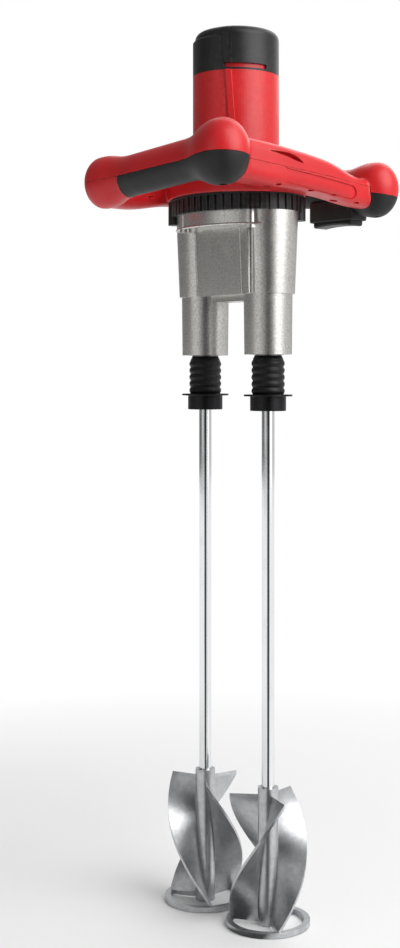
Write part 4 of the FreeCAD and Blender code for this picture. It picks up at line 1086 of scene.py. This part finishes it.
bead_top = (25.0, 32.4, -50.0)
bead_foot = (22.2, 32.6, -115.0)
flange_half_x = 50.0
flange_half_y = 69.0
rim_z = -48.5
bead_ends = [(side_x * x, side_y * y, z) for side_x in (-1, 1) for side_y in (-1, 1)
             for x, y, z in (bead_top, bead_foot)]
turns = np.linspace(0.0, 2 * math.pi, 96, endpoint=False)
rim_points = [(flange_half_x * math.cos(turn), flange_half_y * math.sin(turn), rim_z) for turn in turns]
rim_edges = [(index, (index + 1) % len(turns)) for index in range(len(turns))]
bead_tree = build_bead_tree()
for name, points, edges, radius, count in (
        ("casting_beads", bead_ends, [(0, 1), (2, 3), (4, 5), (6, 7)], 1.3, 12),
        ("flange_rim", rim_points, rim_edges, 1.2, 144)):
    mesh = grown(bead_tree, points_mesh(name, points, edges), name, radius=radius * MM, count=count,
                 material=finishes["cast_aluminium"])
    soften(mesh)
    file_piece(name, mesh, "frame")

# %% [markdown]
# ## Stage, light and camera
# A pale floor and a white surround leave the tool alone in the picture. The floor is shaded normally near
# the tool, so that it keeps the shadow, and fades to white further out, so that no horizon cuts the view.
# One large soft lamp stands high on the viewer's right, a weaker one on the left and one behind. The
# surround is not even for reflections: it grows lighter to the right, with a bright window there and a dark
# screen behind the camera, so that bare metal shows bright and dark streaks instead of plain white.
# Lamps and camera are placed in metres, as Blender takes them.

# %% Floor
forward = Vector((0.682, 0.731, 0.0)).normalized()
right = forward.cross(UP)
floor_z = -729.5
floor_radius = 6000.0
screen_middle = 0.06
screen_dark = -0.94


def vector_math(tree, operation, *values):
    """A vector sum. Lengths and dot products come out as plain numbers."""
    node = add_node(tree, "ShaderNodeVectorMath", dict(enumerate(values)), operation=operation)
    return node.outputs["Value" if operation in ("DOT_PRODUCT", "LENGTH") else "Vector"]


def viewer_panel(tree, direction, middle, outer, inner):
    """An upright panel on the viewer's side, so far to the right, that fades out at its two edges."""
    aside = vector_math(tree, "DOT_PRODUCT", direction, right)
    from_middle = math_node(tree, "ABSOLUTE", math_node(tree, "SUBTRACT", aside, middle))
    viewer_side = ramp(tree, vector_math(tree, "DOT_PRODUCT", direction, -forward), low=0.0, high=0.3)
    return math_node(tree, "MULTIPLY", ramp(tree, from_middle, outer, inner), viewer_side)


def dark_screen(tree, direction):
    """A dark upright screen behind the camera, which bright metal mirrors as a dark streak."""
    return viewer_panel(tree, direction, screen_middle, outer=0.42, inner=0.24)


floor_shape = bmesh.new()
bmesh.ops.create_circle(floor_shape, cap_ends=True, segments=96, radius=floor_radius * MM)
bmesh.ops.translate(floor_shape, verts=floor_shape.verts, vec=(0, 0, floor_z * MM))
floor_mesh = plain_mesh(floor_shape, "floor")
floor_material, floor_tree, floor_shader = start_material("pale_floor")
floor_shader.inputs["Base Color"].default_value = (0.86, 0.86, 0.86, 1)
floor_shader.inputs["Roughness"].default_value = 0.7
spot = add_node(floor_tree, "ShaderNodeTexCoord").outputs["Object"]
away = vector_math(floor_tree, "LENGTH", spot)
rays = add_node(floor_tree, "ShaderNodeLightPath").outputs
seen = math_node(floor_tree, "MAXIMUM", rays["Is Camera Ray"], rays["Is Glossy Ray"])
far = math_node(floor_tree, "MULTIPLY", ramp(floor_tree, away, low=0.8, high=1.25), seen)
outward = vector_math(floor_tree, "NORMALIZE", vector_math(floor_tree, "MULTIPLY", spot, (1, 1, 0)))
mirrored = math_node(floor_tree, "MULTIPLY", dark_screen(floor_tree, outward), rays["Is Glossy Ray"])
fade = math_node(floor_tree, "MAXIMUM", far, mirrored)
shine = math_node(floor_tree, "MULTIPLY_ADD", mirrored, screen_dark, 1.0)
glow = add_node(floor_tree, "ShaderNodeEmission", {"Color": (1, 1, 1, 1), "Strength": shine}).outputs[0]
blend = add_node(floor_tree, "ShaderNodeMixShader", {0: fade, 1: floor_shader.outputs[0], 2: glow})
floor_tree.links.new(blend.outputs[0], floor_tree.nodes["Material Output"].inputs["Surface"])
floor_mesh.materials.append(floor_material)
floor = linked("floor", floor_mesh)
print("floor at", floor_z, "mm")

# %% Surround
window_middle = 0.74
window_light = 1.7
left_light = 0.2
right_gain = 0.75
surround_strength = 0.7
world = bpy.data.worlds.new("studio")
bpy.context.scene.world = world
world.use_nodes = True
tree = world.node_tree
plain = tree.nodes["Background"]
direction = add_node(tree, "ShaderNodeTexCoord").outputs["Generated"]
not_overhead = ramp(tree, vector_math(tree, "DOT_PRODUCT", direction, UP), low=0.8, high=0.35)
dark = math_node(tree, "MULTIPLY", dark_screen(tree, direction), not_overhead)
window = viewer_panel(tree, direction, window_middle, outer=0.24, inner=0.1)
bright = math_node(tree, "MULTIPLY", window, not_overhead)
rightward = ramp(tree, vector_math(tree, "DOT_PRODUCT", direction, right), low=-1.0, high=1.0)
level = math_node(tree, "MULTIPLY_ADD", rightward, right_gain, left_light)
level = math_node(tree, "MULTIPLY_ADD", bright, window_light, level)
level = math_node(tree, "MULTIPLY", level, math_node(tree, "MULTIPLY_ADD", dark, screen_dark, 1.0))
plain.inputs["Strength"].default_value = surround_strength
tree.links.new(level, plain.inputs["Color"])
white = add_node(tree, "ShaderNodeBackground", {"Color": (1, 1, 1, 1), "Strength": 1.0})
camera_ray = add_node(tree, "ShaderNodeLightPath").outputs["Is Camera Ray"]
both = add_node(tree, "ShaderNodeMixShader", {0: camera_ray, 1: plain.outputs[0], 2: white.outputs[0]})
tree.links.new(both.outputs[0], tree.nodes["World Output"].inputs["Surface"])
print("surround:", len(tree.nodes), "nodes")

# %% Lamps and camera
lamp_aim = Vector((0.0, 0.0, -0.2))


def add_lamp(name, place, size, power):
    lamp = bpy.data.lights.new(name, "AREA")
    lamp.size = size
    lamp.energy = power
    holder = linked(name, lamp)
    holder.location = place
    holder.rotation_euler = (lamp_aim - place).to_track_quat("-Z", "Y").to_euler()
    print(name, "at", [round(value, 2) for value in place])


add_lamp("key_lamp", lamp_aim - 1.0 * forward + 1.3 * right + 1.3 * UP, 2.0, 42.0)
add_lamp("fill_lamp", lamp_aim - 1.2 * forward - 1.5 * right + 0.5 * UP, 1.4, 2.5)
add_lamp("back_lamp", lamp_aim + 1.2 * forward + 0.4 * right + 1.2 * UP, 1.6, 13.0)

# At the motor's axis one pixel of the picture, 400 wide and 948 high, shows one millimetre. So the lens
# follows from the eye's distance, and the two shifts are in pixels.
picture_high = 948.0
eye_distance = 1450.0
eye_place = (-0.9889, -1.06, -0.194)
sensor = 36.0
shift_right = -36.0
shift_up = -99.0
camera_data = bpy.data.cameras.new("camera")
camera_data.sensor_width = sensor
camera_data.lens = eye_distance / picture_high * sensor
camera_data.shift_x = shift_right / picture_high
camera_data.shift_y = shift_up / picture_high
camera = linked("camera", camera_data)
camera.location = eye_place
camera.rotation_euler = forward.to_track_quat("-Z", "Y").to_euler()
bpy.context.scene.camera = camera
bpy.context.scene.view_settings.view_transform = "Standard"
print("camera lens", round(camera_data.lens, 1), "mm")
